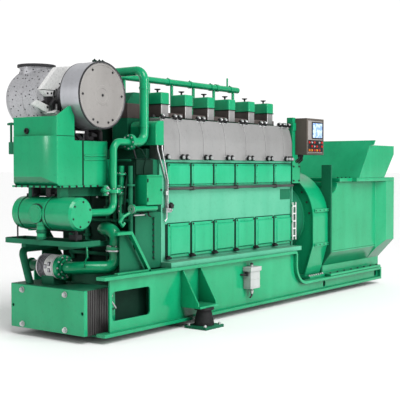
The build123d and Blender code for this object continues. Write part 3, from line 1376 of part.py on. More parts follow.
def alternator_hood():
    """Air hood on the roof: raked back, open at the top, with a taller front plate and a rear lip."""
    front = HOOD_FRONT
    rear = front + HOOD_LENGTH
    top = ROOF_TOP + HOOD_HEIGHT
    knee = top - HOOD_LIP_HEIGHT
    half = ALTERNATOR_FLARE_HALF_WIDTH
    wall = HOOD_WALL
    outline = shape(
        (front, ROOF_TOP), (rear, ROOF_TOP), (rear + HOOD_REAR_LEAN, knee), (rear + HOOD_REAR_LEAN, top),
        (front + HOOD_LEAN, top),
    )
    floor = top - HOOD_POCKET_DEPTH
    rake = HOOD_LEAN / HOOD_HEIGHT
    rear_rake = HOOD_REAR_LEAN / (knee - ROOF_TOP)
    depth = floor - ROOF_TOP
    pocket = shape(
        (front + rake * depth + wall, floor), (rear + rear_rake * depth - wall, floor),
        (rear + HOOD_REAR_LEAN - wall, knee), (rear + HOOD_REAR_LEAN - wall, top + OVERRUN),
        (front + HOOD_LEAN + rake * OVERRUN + wall, top + OVERRUN),
    )
    hood = across(outline, -half, half) - across(pocket, wall - half, half - wall)
    crest = front + HOOD_LEAN
    rise = HOOD_FRONT_RISE
    lip = shape(
        (crest, top), (crest + wall, top), (crest + wall + rake * rise, top + rise),
        (crest + rake * rise, top + rise),
    )
    return hood + across(lip, -half - HOOD_FRONT_MARGIN, half + HOOD_FRONT_MARGIN)


def leak_canister():
    """Leak-oil canister against the near rail's web: a square can with a lid, a knob and a drain."""
    x = ENGINE_FRONT + CANISTER_SETBACK
    half = CANISTER_LENGTH / 2
    wall = -WEB_OUTER
    lid = CANISTER_BOTTOM + CANISTER_HEIGHT
    top = lid + CANISTER_LID
    margin = CANISTER_LID_MARGIN
    can = block(x - half, x + half, wall - CANISTER_DEPTH, wall, CANISTER_BOTTOM, lid)
    can += block(x - half - margin, x + half + margin, wall - CANISTER_DEPTH - margin, wall, lid, top)
    y = wall - CANISTER_DEPTH / 2
    return can + bar_z(
        x, y, CANISTER_KNOB_RADIUS, CANISTER_BOTTOM - CANISTER_KNOB_HEIGHT, top + CANISTER_KNOB_HEIGHT,
    )


def main():
    """Build every node and write it to its file."""
    os.makedirs("parts", exist_ok=True)
    save("base_rail_near", base_rail())
    save("base_rail_far", far_base_rail())
    save("front_floor", front_floor())
    save("rear_cross_members", *rear_cross_members())
    save("oil_sump", oil_sump())
    save("mount_bracket_near", mount_bracket())
    save("mount_bracket_far", far_side(mount_bracket()))
    save("mount_rubbers", *[mount_rubber(x, y) for x, y in mount_places()])
    save("mount_feet", *[mount_foot(x, y) for x, y in mount_places()])
    save("cooler_end_plates", *cooler_end_plates())
    save("cooler_plates", cooler_plates())
    save("engine_frame", engine_frame())
    save("crankcase_doors", *crankcase_doors())
    save("camshaft_covers", *camshaft_covers())
    save("control_shaft", control_shaft())
    save("hot_box_panels", *hot_box_panels())
    save("cam_drive_cover", cam_drive_cover())
    save("cylinder_heads", *cylinder_heads())
    save("rocker_bases", *rocker_bases())
    save("rocker_covers", *rocker_covers())
    save("rocker_knobs", *rocker_knobs())
    save("exhaust_manifold", exhaust_manifold())
    save("exhaust_duct", exhaust_duct())
    save("water_manifold", water_manifold())
    save("tall_water_pipe", tall_water_pipe())
    save("low_water_pipe", low_water_pipe())
    save("turbo_silencer", turbo_silencer())
    save("turbo_compressor", turbo_compressor())
    save("turbine_casing", turbine_casing())
    save("exhaust_flange", exhaust_flange())
    save("turbo_shields", *turbo_shields())
    save("turbo_pedestal", turbo_pedestal())
    save("charge_air_cooler", charge_air_cooler())
    save("cooler_console", cooler_console())
    save("front_top_box", front_top_box())
    save("front_end_casing", front_end_casing())
    save("front_bracket_near", front_bracket())
    save("front_bracket_far", far_side(front_bracket()))
    save("junction_cabinet", junction_cabinet())
    save("fuel_pipe", fuel_pipe())
    save("leak_pipes", leak_pipes())
    save("oil_filter_drum", oil_filter_drum())
    save("drum_valve", drum_valve())
    save("drum_saddles", *drum_saddles())
    save("drip_tray", drip_tray())
    save("water_pump", water_pump())
    save("pump_ends", *pump_ends())
    save("pump_base", pump_base())
    save("pump_pipe", pump_pipe())
    save("drain_pipe", drain_pipe())
    save("panel_post", panel_post())
    save("control_panel", control_panel())
    save("neck_housing", neck_housing())
    save("cable_ladder", cable_ladder())
    save("flywheel_guard", flywheel_guard())
    save("alternator_body", alternator_body())
    save("alternator_end_shield", alternator_end_shield())
    save("alternator_roof", alternator_roof())
    save("alternator_hood", alternator_hood())
    save("leak_canister", leak_canister())


main()
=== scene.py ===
"""Dress the diesel generating set: finishes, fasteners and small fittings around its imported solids."""
import json
import logging
import math
import random
from collections.abc import Iterable
from dataclasses import dataclass
from enum import Enum

import bmesh
import bpy
from mathutils import Matrix, Vector


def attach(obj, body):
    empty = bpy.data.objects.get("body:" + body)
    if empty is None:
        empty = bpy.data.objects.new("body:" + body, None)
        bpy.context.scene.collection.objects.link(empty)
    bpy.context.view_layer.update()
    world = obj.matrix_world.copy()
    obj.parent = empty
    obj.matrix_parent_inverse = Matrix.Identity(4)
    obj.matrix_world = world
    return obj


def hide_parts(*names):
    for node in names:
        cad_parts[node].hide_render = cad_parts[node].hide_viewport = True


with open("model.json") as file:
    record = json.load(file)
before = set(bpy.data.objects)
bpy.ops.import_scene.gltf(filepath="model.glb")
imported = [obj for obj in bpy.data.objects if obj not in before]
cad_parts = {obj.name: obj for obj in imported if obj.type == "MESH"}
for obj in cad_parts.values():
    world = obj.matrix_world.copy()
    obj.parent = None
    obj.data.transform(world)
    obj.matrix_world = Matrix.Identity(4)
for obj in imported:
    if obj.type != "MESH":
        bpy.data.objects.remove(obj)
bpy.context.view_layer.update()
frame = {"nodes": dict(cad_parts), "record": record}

LOG = logging.getLogger("generating_set")
BODY = "root"
MM = 0.001
SMOOTH_ANGLE = math.radians(38)
BEVEL_ANGLE = math.radians(28)
FLAT_ANGLE = math.radians(0.6)
WELD = 0.02
SEAM_WELD = 0.001
UP, NEAR, FAR = (0, 0, 1), (0, -1, 0), (0, 1, 0)
FORE, AFT = (-1, 0, 0), (1, 0, 0)
SIDES = (-1, 1)
SMOOTH_STEP = {"interpolation_type": "SMOOTHSTEP"}
DOT = {"operation": "DOT_PRODUCT"}
QUICK_SAMPLES = {"samples": 4}
EDGE_RANGE = (0.008, 0.13)
PLAIN, SOFT, MIXED, CRISP = 1.0, 3.0, 4.0, 5.0  # octaves of noise
Colour = tuple[float, float, float]
Point = tuple[float, float, float]
Range = tuple[float, float]
Route = tuple[Point, ...]
Pair = tuple[float, float]
Outline = tuple[Pair, ...]
Numbers = tuple[float, ...]
BMesh = bmesh.types.BMesh
Socket = bpy.types.NodeSocket

# Places of the cylinders along the set, in millimetres
FIRST_CYLINDER = -1323.0
PITCH = 370.0
CYLINDERS = [FIRST_CYLINDER + PITCH * number for number in range(6)]


class Value:
    """A number that varies over a surface: one output socket, with arithmetic that adds Math nodes."""

    def __init__(self, graph: "Graph", socket: Socket) -> None:
        """Keep the socket and the graph that it belongs to."""
        self.graph = graph
        self.socket = socket

    def _math(self, operation: str, first: "Value | float", second: "Value | float") -> "Value":
        """Result of a Math node with two operands."""
        node = self.graph.node("ShaderNodeMath", {"operation": operation}, {0: first, 1: second})
        return Value(self.graph, node.outputs[0])

    def __add__(self, other: "Value | float") -> "Value":
        """Sum."""
        return self._math("ADD", self, other)

    __radd__ = __add__

    def __sub__(self, other: "Value | float") -> "Value":
        """Difference."""
        return self._math("SUBTRACT", self, other)

    def __rsub__(self, other: "Value | float") -> "Value":
        """Difference from a number."""
        return self._math("SUBTRACT", other, self)

    def __mul__(self, other: "Value | float") -> "Value":
        """Product."""
        return self._math("MULTIPLY", self, other)

    __rmul__ = __mul__

    def most(self, other: "Value | float") -> "Value":
        """Larger of two values."""
        return self._math("MAXIMUM", self, other)

    def step(self, low: float, high: float) -> "Value":
        """Smooth step from 0 at low to 1 at high."""
        node = self.graph.node("ShaderNodeMapRange", SMOOTH_STEP, {0: self, 1: low, 2: high})
        return Value(self.graph, node.outputs[0])


class Graph:
    """Node tree of one material or of the world, with its shader and coordinates."""

    def __init__(self, owner: bpy.types.Material | bpy.types.World) -> None:
        """Take the node tree.

        Args:
            owner: Material or world to build in.
        """
        outside = isinstance(owner, bpy.types.World)
        owner.use_nodes = True
        self.tree = owner.node_tree
        self.shader = self.tree.nodes["Background" if outside else "Principled BSDF"]
        self.place = self.node("ShaderNodeTexCoord").outputs["Generated" if outside else "Object"]

    def node(self, kind: str, settings: dict | None = None, inputs: dict | None = None) -> bpy.types.Node:
        """Add a node.

        Args:
            kind: Blender's type of the node.
            settings: Properties of the node, set first.
            inputs: Values or links by socket name or number.

        Returns:
            The new node.
        """
        node = self.tree.nodes.new(kind)
        for name, setting in (settings or {}).items():
            setattr(node, name, setting)
        for name, value in (inputs or {}).items():
            self.feed(node.inputs[name], value)
        return node

    def feed(self, socket: Socket, value: object) -> None:
        """Link or set one input socket.

        Args:
            socket: The input.
            value: A Value, an output socket, a number or a tuple.
        """
        source = value.socket if isinstance(value, Value) else value
        if isinstance(source, Socket):
            self.tree.links.new(source, socket)
        elif isinstance(source, tuple) and len(source) == 3 and socket.type == "RGBA":
            socket.default_value = (*source, 1.0)
        else:
            socket.default_value = source

    def noise(self, scale: float, detail: float = 2.0, stretch: Point = (1.0, 1.0, 1.0)) -> Value:
        """Noise over the surface, by Object coordinates.

        Args:
            scale: Grains in a metre.
            detail: Octaves.
            stretch: Scale along each axis.

        Returns:
            The noise, from 0 to 1.
        """
        mapping = self.node("ShaderNodeMapping", None, {"Vector": self.place, "Scale": stretch})
        inputs = {"Vector": mapping.outputs[0], "Scale": scale, "Detail": detail}
        return Value(self, self.node("ShaderNodeTexNoise", None, inputs).outputs[0])

    def cells(self, scale: float) -> Value:
        """Distance in cells to the nearest of scattered points, so many to a metre."""
        node = self.node("ShaderNodeTexVoronoi", None, {"Vector": self.place, "Scale": scale})
        return Value(self, node.outputs["Distance"])

    def along(self, direction: Point) -> Value:
        """Place or direction measured along a direction."""
        node = self.node("ShaderNodeVectorMath", DOT, {0: self.place, 1: direction})
        return Value(self, node.outputs["Value"])

    def upward(self) -> Value:
        """How far the surface faces up, from -1 to 1."""
        normal = self.node("ShaderNodeNewGeometry").outputs["Normal"]
        return Value(self, self.node("ShaderNodeSeparateXYZ", None, {0: normal}).outputs["Z"])

    def rounded(self, radius: float) -> Socket:
        """Normal with every sharp edge rounded to a radius in metres."""
        return self.node("ShaderNodeBevel", QUICK_SAMPLES, {"Radius": radius}).outputs[0]

    def edge(self, normal: Socket) -> Value:
        """Mask that grows towards the sharp edges.

        Args:
            normal: Rounded normal.

        Returns:
            The mask, from 0 to 1.
        """
        flat = self.node("ShaderNodeNewGeometry").outputs["Normal"]
        dot = self.node("ShaderNodeVectorMath", DOT, {0: normal, 1: flat})
        return (1 - Value(self, dot.outputs["Value"])).step(*EDGE_RANGE)

    def crevice(self, distance: float) -> Value:
        """Mask that grows where other surfaces stand within a distance in metres."""
        node = self.node("ShaderNodeAmbientOcclusion", QUICK_SAMPLES, {"Distance": distance})
        return 1 - Value(self, node.outputs["AO"])

    def blend(self, factor: Value | float, first: object, second: object) -> Socket:
        """Mix two colours.

        Args:
            factor: Share of the second colour.
            first: Colour or socket.
            second: Colour or socket.

        Returns:
            The mixed colour's socket.
        """
        node = self.node("ShaderNodeMix", {"data_type": "RGBA"})
        self.feed(node.inputs["Factor"], factor)
        colours = [socket for socket in node.inputs if socket.type == "RGBA"]
        self.feed(colours[0], first)
        self.feed(colours[1], second)
        return [socket for socket in node.outputs if socket.type == "RGBA"][0]

    def bump(self, height: Value, depth: float, normal: Socket | None = None) -> None:
        """Feed a bump into the shader's normal.

        Args:
            height: Height over the surface.
            depth: Height of 1 in metres.
            normal: Normal to start from.
        """
        inputs = {"Height": height, "Distance": depth}
        if normal is not None:
            inputs["Normal"] = normal
        self.feed(self.shader.inputs["Normal"], self.node("ShaderNodeBump", None, inputs).outputs[0])

    def set(self, **inputs: object) -> None:
        """Set or link inputs of the shader, named with underscores for spaces."""
        for name, value in inputs.items():
            self.feed(self.shader.inputs[name.replace("_", " ")], value)


@dataclass(frozen=True)
class Enamel:
    """Sprayed enamel: slight orange peel, paler at sharp edges from wear and a painted edge highlight, dusty
    on top, grimy in crevices, with painted shade in crevices, in sheltered places and on undersides.
    """

    colour: Colour
    pale: Colour
    deep: Colour
    roughness: float = 0.30
    coat: float = 0.62
    metallic: float = 0.0
    dust: Colour = (0.20, 0.34, 0.26)
    dusty: float = 0.24
    gloss: float = 0.1
    coat_roughness: float = 0.13
    edge_radius: float = 5 * MM
    peel: float = 0.25 * MM
    patch_scale: float = 1.7
    grain_scale: float = 34.0
    chip_scale: float = 26.0
    peel_scale: float = 95.0
    run_scale: float = 7.0
    run_stretch: Point = (1.0, 1.0, 0.12)
    # Crevice darkening, broken by grain: partly grime, partly painted shade
    grime_and_shade_reach: float = 0.07
    # Broad occlusion and downward faces darkened towards the deep colour: painted shade
    painted_shade_reach: float = 0.45
    chips: Range = (0.36, 0.62)
    level: Range = (0.72, 0.98)
    drifts: Range = (0.3, 0.8)
    grime_and_shade_steps: Range = (0.25, 0.95)
    grime_grain: Range = (0.15, 0.75)
    painted_shade: Range = (0.3, 0.95)
    underside_shade: Range = (0.2, 0.8)
    underside_shade_share: float = 0.8
    pale_patches: Range = (0.35, 0.75)
    pale_patch_share: float = 0.26
    pale_runs: Range = (0.45, 0.8)
    pale_run_share: float = 0.14
    deep_grain: Range = (0.52, 0.8)
    deep_grain_share: float = 0.14
    deep_runs: Range = (0.5, 0.2)
    deep_run_share: float = 0.12
    painted_shade_share: float = 0.74
    grime_and_shade_share: float = 0.62
    # Lightening of sharp edges: partly wear, partly a painted edge highlight
    wear_and_highlight_share: float = 0.75
    grain_rough: float = 0.1
    dust_rough: float = 0.16
    grime_rough: float = 0.2
    dust_dulls: float = 0.1
    grain_peel: float = 0.7

    def dress(self, graph: Graph) -> None:
        """Build the finish.

        Args:
            graph: Material to build in.
        """
        broad = graph.noise(self.patch_scale, MIXED)
        fine = graph.noise(self.grain_scale, CRISP)
        normal = graph.rounded(self.edge_radius)
        # Sharp edges paler: wear, and a painted edge highlight
        edge = graph.edge(normal) * graph.noise(self.chip_scale, MIXED).step(*self.chips)
        upward = graph.upward()
        dust = upward.step(*self.level) * broad.step(*self.drifts)
        # Crevices darker: grime broken by grain, and painted shade
        grime_and_shade = graph.crevice(self.grime_and_shade_reach).step(*self.grime_and_shade_steps) * fine.step(*self.grime_grain)
        # Painted shade on downward faces and in broad sheltered places
        painted_underside_shade = (0 - upward).step(*self.underside_shade) * self.underside_shade_share
        painted_shade = graph.crevice(self.painted_shade_reach).step(*self.painted_shade).most(painted_underside_shade)
        runs = graph.noise(self.run_scale, SOFT, self.run_stretch)
        paler = broad.step(*self.pale_patches) * self.pale_patch_share
        tint = graph.blend(paler + runs.step(*self.pale_runs) * self.pale_run_share, self.colour, self.pale)
        deeper = fine.step(*self.deep_grain) * self.deep_grain_share
        tint = graph.blend(deeper + runs.step(*self.deep_runs) * self.deep_run_share, tint, self.deep)
        tint = graph.blend(dust * self.dusty, tint, self.dust)
        tint = graph.blend(painted_shade * self.painted_shade_share, tint, self.deep)
        tint = graph.blend(grime_and_shade * self.grime_and_shade_share, tint, self.deep)
        tint = graph.blend(edge * self.wear_and_highlight_share, tint, self.pale)
        rough = self.roughness + fine * self.grain_rough + dust * self.dust_rough + grime_and_shade * self.grime_rough
        graph.set(Base_Color=tint, Roughness=rough, Metallic=self.metallic)
        graph.set(Coat_Weight=self.coat - dust * self.dust_dulls, Coat_Roughness=self.coat_roughness)
        graph.set(Specular_IOR_Level=self.gloss)
        graph.bump(graph.noise(self.peel_scale, SOFT) + fine * self.grain_peel, self.peel, normal)


@dataclass(frozen=True)
class BareMetal:
    """Bare or metallic-painted steel with a brushed or turned grain and oily patches, painted shade in
    crevices, and edges lighter from wear and a painted edge highlight.
    """

    colour: Colour
    shade: Colour
    roughness: float = 0.34
    metallic: float = 0.9
    grain: Point = (1.0, 1.0, 1.0)
    edge_radius: float = 3 * MM
    patch_scale: float = 3.1
    grain_scale: float = 130.0
    grime_and_shade_reach: float = 0.05
    patches: Range = (0.32, 0.7)
    patch_share: float = 0.45
    grain_share: float = 0.25
    grime_and_shade_steps: Range = (0.2, 0.9)
    grime_and_shade_share: float = 0.7
    wear_and_highlight_share: float = 0.4
    patch_rough: float = 0.16
    grain_rough: float = 0.1
    grain_depth: float = 0.12 * MM

    def dress(self, graph: Graph) -> None:
        """Build the finish.

        Args:
            graph: Material to build in.
        """
        broad = graph.noise(self.patch_scale, MIXED)
        scratch = graph.noise(self.grain_scale, MIXED, self.grain)
        normal = graph.rounded(self.edge_radius)
        edge = graph.edge(normal)
        # Crevices darker: painted shade
        grime_and_shade = graph.crevice(self.grime_and_shade_reach).step(*self.grime_and_shade_steps)
        oily = broad.step(*self.patches) * self.patch_share + scratch * self.grain_share
        tint = graph.blend(oily, self.colour, self.shade)
        tint = graph.blend(grime_and_shade * self.grime_and_shade_share, tint, self.shade)
        # Sharp edges back to the lighter colour: wear, and a painted edge highlight
        tint = graph.blend(edge * self.wear_and_highlight_share, tint, self.colour)
        graph.set(Base_Color=tint, Metallic=self.metallic)
        graph.set(Roughness=self.roughness + broad * self.patch_rough + scratch * self.grain_rough)
        graph.bump(scratch, self.grain_depth, normal)


@dataclass(frozen=True)
class Lagging:
    """Sheet cladding over insulation: dented, speckled with scale, stained, and darkened by painted shade in
    crevices.
    """

    colour: Colour
    speck: Colour
    speck_scale: float = 34.0
    specks: float = 0.5
    roughness: float = 0.45
    metallic: float = 0.35
    edge_radius: float = 6 * MM
    dent_scale: float = 9.0
    grain_scale: float = 70.0
    cluster_scale: float = 5.0
    grime_and_shade_reach: float = 0.08
    speck_edge: Range = (0.1, 0.2)
    clusters: Range = (0.4, 0.6)
    grime_and_shade_steps: Range = (0.2, 0.9)
    grime_and_shade_share: float = 0.45
    stains: Range = (0.4, 0.75)
    stain_share: float = 0.3
    grain_rough: float = 0.2
    dent_height: float = 12.0
    grain_height: float = 0.4
    speck_height: float = 2.0
    depth: float = 0.6 * MM

    def dress(self, graph: Graph) -> None:
        """Build the finish.

        Args:
            graph: Material to build in.
        """
        normal = graph.rounded(self.edge_radius)
        dents = graph.noise(self.dent_scale, SOFT)
        grain = graph.noise(self.grain_scale, CRISP)
        dots = 1 - graph.cells(self.speck_scale).step(*self.speck_edge)
        dots = dots * graph.noise(self.cluster_scale, SOFT).step(*self.clusters) * self.specks
        # Crevices darker, mixed into the stains: painted shade
        grime_and_shade = graph.crevice(self.grime_and_shade_reach).step(*self.grime_and_shade_steps)
        stain_and_shade = grain.step(*self.stains) * self.stain_share + grime_and_shade * self.grime_and_shade_share
        tint = graph.blend(stain_and_shade, self.colour, self.speck)
        graph.set(Base_Color=graph.blend(dots, tint, self.speck), Metallic=self.metallic)
        graph.set(Roughness=self.roughness + grain * self.grain_rough)
        height = dents * self.dent_height + grain * self.grain_height - dots * self.speck_height
        graph.bump(height, self.depth, normal)


@dataclass(frozen=True)
class Moulded:
    """Moulded rubber or plastic with a fine grain and chalky bloom, paler at sharp edges from wear and a
    painted edge highlight.
    """

    colour: Colour
    bloom: Colour
    roughness: float = 0.55
    grain_depth: float = 0.2 * MM
    gloss: float = 0.15
    edge_radius: float = 3 * MM
    grain_scale: float = 220.0
    bloom_scale: float = 12.0
    blooms: Range = (0.4, 0.75)
    bloom_share: float = 0.35
    wear_and_highlight_share: float = 0.3
    grain_rough: float = 0.2

    def dress(self, graph: Graph) -> None:
        """Build the finish.

        Args:
            graph: Material to build in.
        """
        normal = graph.rounded(self.edge_radius)
        grain = graph.noise(self.grain_scale, SOFT)
        broad = graph.noise(self.bloom_scale, MIXED)
        # Bloom stronger at sharp edges: wear, and a painted edge highlight
        bloom = broad.step(*self.blooms) * self.bloom_share + graph.edge(normal) * self.wear_and_highlight_share
        graph.set(Base_Color=graph.blend(bloom, self.colour, self.bloom), Specular_IOR_Level=self.gloss)
        graph.set(Roughness=self.roughness + grain * self.grain_rough)
        graph.bump(grain + broad, self.grain_depth, normal)


@dataclass(frozen=True)
class Screen:
    """Lit glass of a display with pale panes."""

    colour: Colour
    pane: Colour
    pane_scale: float = 22.0
    panes: Range = (0.45, 0.55)
    pane_share: float = 0.7
    smear_scale: float = 9.0
    glow: float = 0.45
    roughness: float = 0.12
    smear_rough: float = 0.15
    smear_depth: float = 0.05 * MM

    def dress(self, graph: Graph) -> None:
        """Build the finish.

        Args:
            graph: Material to build in.
        """
        panes = graph.noise(self.pane_scale, PLAIN).step(*self.panes)
        smear = graph.noise(self.smear_scale, SOFT)
        tint = graph.blend(panes * self.pane_share, self.colour, self.pane)
        graph.set(Base_Color=tint, Emission_Color=tint, Emission_Strength=self.glow)
        graph.set(Roughness=self.roughness + smear * self.smear_rough)
        graph.bump(smear, self.smear_depth)


class Look(Enum):
    """Finishes of the pieces; the first ones carry the names of the record's slots."""

    GREEN = "green_paint"
    SILVER = "silver_paint"
    WHITE = "white_lagging"
    LAGGING = "metal_lagging"
    DARK = "dark_steel"
    RUBBER = "mount_rubber"
    BLACK = "mount_steel"
    PLATES = "plate_steel"
    BRIGHT = "bright_steel"
    PLASTIC = "black_plastic"
    MOTOR = "motor_silver"
    PANEL = "panel_paint"
    CANISTER = "canister_grey"
    DISC = "disc_paint"
    # Near-black for dark joints and seams, and for boards and plates that paint shade
    SEAM_AND_SHADE = "seam_sealant"
    SCREEN = "screen_glass"
    RED = "red_button"
    # Darker copy of the green that paints shade on sheltered parts
    SHADED = "shaded_green"
    DUSTY = "dusty_green"
    # Dark brown-grey for plates that paint shade on the rocker bases
    SHADE_BROWN = "shade_brown_grey"
    FACE = "panel_face_paint"
    TURBO = "turbo_silver"
    DOOR = "door_green"
    AMBER = "amber_button"


# CAD nodes that look other than their slot says; the sheltered ones get the shaded green, a darker copy that
# paints shade on them
NODE_LOOKS: dict[str, Look] = {
    "crankcase_doors": Look.DOOR, "camshaft_covers": Look.DOOR, "turbo_silencer": Look.TURBO,
    "turbo_compressor": Look.TURBO, "engine_frame": Look.DUSTY, "cable_ladder": Look.WHITE,
    "control_shaft": Look.PLATES,
    **dict.fromkeys((
        "mount_feet", "drip_tray", "drain_pipe", "front_end_casing", "drum_saddles", "cooler_console",
        "front_floor", "cylinder_heads", "front_top_box", "pump_base", "neck_housing", "oil_sump",
        "rear_cross_members", "alternator_end_shield",
    ), Look.SHADED),
}

BROWN_DUST = (0.2, 0.18, 0.16)

FINISHES: dict[Look, object] = {
    Look.GREEN: Enamel((0.002, 0.305, 0.125), (0.035, 0.50, 0.25), (0.0005, 0.035, 0.016)),
    Look.DOOR: Enamel((0.004, 0.365, 0.165), (0.07, 0.60, 0.35), (0.0005, 0.045, 0.02), roughness=0.26),
    # Darker copy of the green: painted shade for sheltered parts
    Look.SHADED: Enamel(
        (0.008, 0.135, 0.066), (0.03, 0.24, 0.13), (0.001, 0.018, 0.010), roughness=0.45, coat=0.05,
    ),
    Look.DUSTY: Enamel(
        (0.09, 0.40, 0.25), (0.20, 0.54, 0.38), (0.004, 0.07, 0.038), roughness=0.46, coat=0.04,
        dust=(0.15, 0.20, 0.16), dusty=0.96,
    ),
    Look.SILVER: Enamel(
        (0.37, 0.368, 0.366), (0.52, 0.518, 0.516), (0.03, 0.029, 0.028), coat=0.06, metallic=0.5,
        dust=(0.32, 0.315, 0.31),
    ),
    Look.TURBO: Enamel(
        (0.47, 0.475, 0.505), (0.62, 0.625, 0.66), (0.03, 0.03, 0.032), roughness=0.32, coat=0.1,
        metallic=0.5, dust=(0.42, 0.42, 0.43),
    ),
    Look.WHITE: Lagging((0.74, 0.74, 0.73), (0.22, 0.22, 0.23), 20.0, 0.25, roughness=0.42, metallic=0.0),
    Look.LAGGING: Lagging((0.47, 0.47, 0.49), (0.05, 0.05, 0.055), 30.0, 0.9, roughness=0.36),
    Look.DARK: BareMetal((0.05, 0.05, 0.055), (0.015, 0.013, 0.012), roughness=0.5, metallic=0.6),
    Look.RUBBER: Moulded((0.014, 0.014, 0.015), (0.05, 0.05, 0.05), roughness=0.6),
    Look.BLACK: Enamel(
        (0.02, 0.022, 0.022), (0.07, 0.08, 0.08), (0.006, 0.006, 0.006), roughness=0.4, coat=0.1,
    ),
    Look.PLATES: BareMetal(
        (0.13, 0.125, 0.125), (0.03, 0.026, 0.027), roughness=0.42, metallic=0.75, grain=(1.0, 1.0, 0.05),
    ),
    Look.BRIGHT: BareMetal((0.72, 0.73, 0.74), (0.28, 0.28, 0.28), roughness=0.24, metallic=0.95),
    Look.PLASTIC: Moulded((0.012, 0.012, 0.013), (0.06, 0.06, 0.06), roughness=0.4),
    Look.MOTOR: Enamel(
        (0.46, 0.45, 0.50), (0.66, 0.66, 0.70), (0.11, 0.105, 0.12), roughness=0.34, coat=0.2,
    ),
    Look.PANEL: Enamel(
        (0.095, 0.08, 0.068), (0.20, 0.175, 0.15), (0.03, 0.025, 0.02), roughness=0.36, coat=0.2,
        dust=BROWN_DUST,
    ),
    # Dark brown-grey plates that paint shade on the rocker bases
    Look.SHADE_BROWN: Enamel(
        (0.075, 0.06, 0.056), (0.15, 0.125, 0.12), (0.02, 0.016, 0.015), roughness=0.42, coat=0.1,
        dust=BROWN_DUST,
    ),
    Look.FACE: Enamel(
        (0.27, 0.25, 0.24), (0.40, 0.38, 0.36), (0.08, 0.07, 0.065), roughness=0.4, coat=0.1,
        dust=(0.3, 0.3, 0.3),
    ),
    Look.CANISTER: Enamel(
        (0.44, 0.46, 0.45), (0.66, 0.68, 0.67), (0.13, 0.14, 0.135), roughness=0.38, coat=0.15,
    ),
    Look.DISC: Enamel(
        (0.27, 0.258, 0.248), (0.42, 0.405, 0.39), (0.07, 0.064, 0.06), roughness=0.4, coat=0.05,
        metallic=0.2, dust=(0.4, 0.4, 0.4),
    ),
    # Near-black for joints, and for boards that paint shade
    Look.SEAM_AND_SHADE: Moulded((0.0015, 0.02, 0.011), (0.004, 0.036, 0.02), roughness=0.6),
    Look.SCREEN: Screen((0.20, 0.32, 0.60), (0.55, 0.68, 0.86)),
    Look.RED: Moulded((0.42, 0.012, 0.012), (0.6, 0.08, 0.06), roughness=0.3),
    Look.AMBER: Moulded((0.55, 0.16, 0.015), (0.75, 0.32, 0.08), roughness=0.3),
}


def soften(mesh: BMesh, verts: list, width: float) -> None:
    """Bevel the sharp edges around some vertices.

    Args:
        mesh: Mesh that they belong to.
        verts: Vertices of the part to soften.
        width: Width of the bevel.
    """
    edges = {edge for vert in verts for edge in vert.link_edges if edge.calc_face_angle(0.0) > BEVEL_ANGLE}
    bmesh.ops.bevel(
        mesh, geom=list(edges), offset=width, affect="EDGES", segments=2, profile=0.5, material=-1,
    )


def towards(axis: Point) -> Matrix:
    """Turn that points Z along an axis."""
    return Vector(axis).to_track_quat("Z", "Y").to_matrix().to_4x4()


class Part:
    """Shape in millimetres that can be put into a mesh."""

    def put(self, mesh: BMesh) -> None:
        """Add the shape to a mesh."""
        raise NotImplementedError


Parts = tuple[Part, ...]


@dataclass(frozen=True)
class Block(Part):
    """Block between its low and its high corner, with a bevel on its edges."""

    low: Point
    high: Point
    bevel: float = 0.0

    def put(self, mesh: BMesh) -> None:
        """Add the block.

        Args:
            mesh: Mesh that takes it.
        """
        low, high = Vector(self.low), Vector(self.high)
        matrix = Matrix.Translation((low + high) / 2) @ Matrix.Diagonal((*(high - low), 1.0))
        verts = bmesh.ops.create_cube(mesh, size=1.0, matrix=matrix)["verts"]
        if self.bevel:
            soften(mesh, verts, self.bevel)


@dataclass(frozen=True)
class Rod(Part):
    """Round bar between two points, or a cone where its tip has a radius of its own."""

    start: Point
    end: Point
    radius: float
    tip: float | None = None
    sides: int = 20

    def grow(self, mesh: BMesh) -> list:
        """Add the bar.

        Args:
            mesh: Mesh that takes it.

        Returns:
            Its vertices.
        """
        foot, head = Vector(self.start), Vector(self.end)
        return bmesh.ops.create_cone(
            mesh, cap_ends=True, segments=self.sides, radius1=self.radius,
            radius2=self.radius if self.tip is None else self.tip, depth=(head - foot).length,
            matrix=Matrix.Translation((foot + head) / 2) @ towards(head - foot),
        )["verts"]

    def put(self, mesh: BMesh) -> None:
        """Add the bar."""
        self.grow(mesh)


@dataclass(frozen=True)
class Pipe(Part):
    """Pipe along straight runs with rounded joints."""

    points: Route
    radius: float
    sides: int = 10
    joint_rows: int = 6

    def put(self, mesh: BMesh) -> None:
        """Add the pipe.

        Args:
            mesh: Mesh that takes it.
        """
        for start, end in zip(self.points, self.points[1:]):
            Rod(start, end, self.radius, sides=self.sides).put(mesh)
        for joint in self.points[1:-1]:
            bmesh.ops.create_uvsphere(
                mesh, u_segments=self.sides, v_segments=self.joint_rows, radius=self.radius,
                matrix=Matrix.Translation(joint),
            )


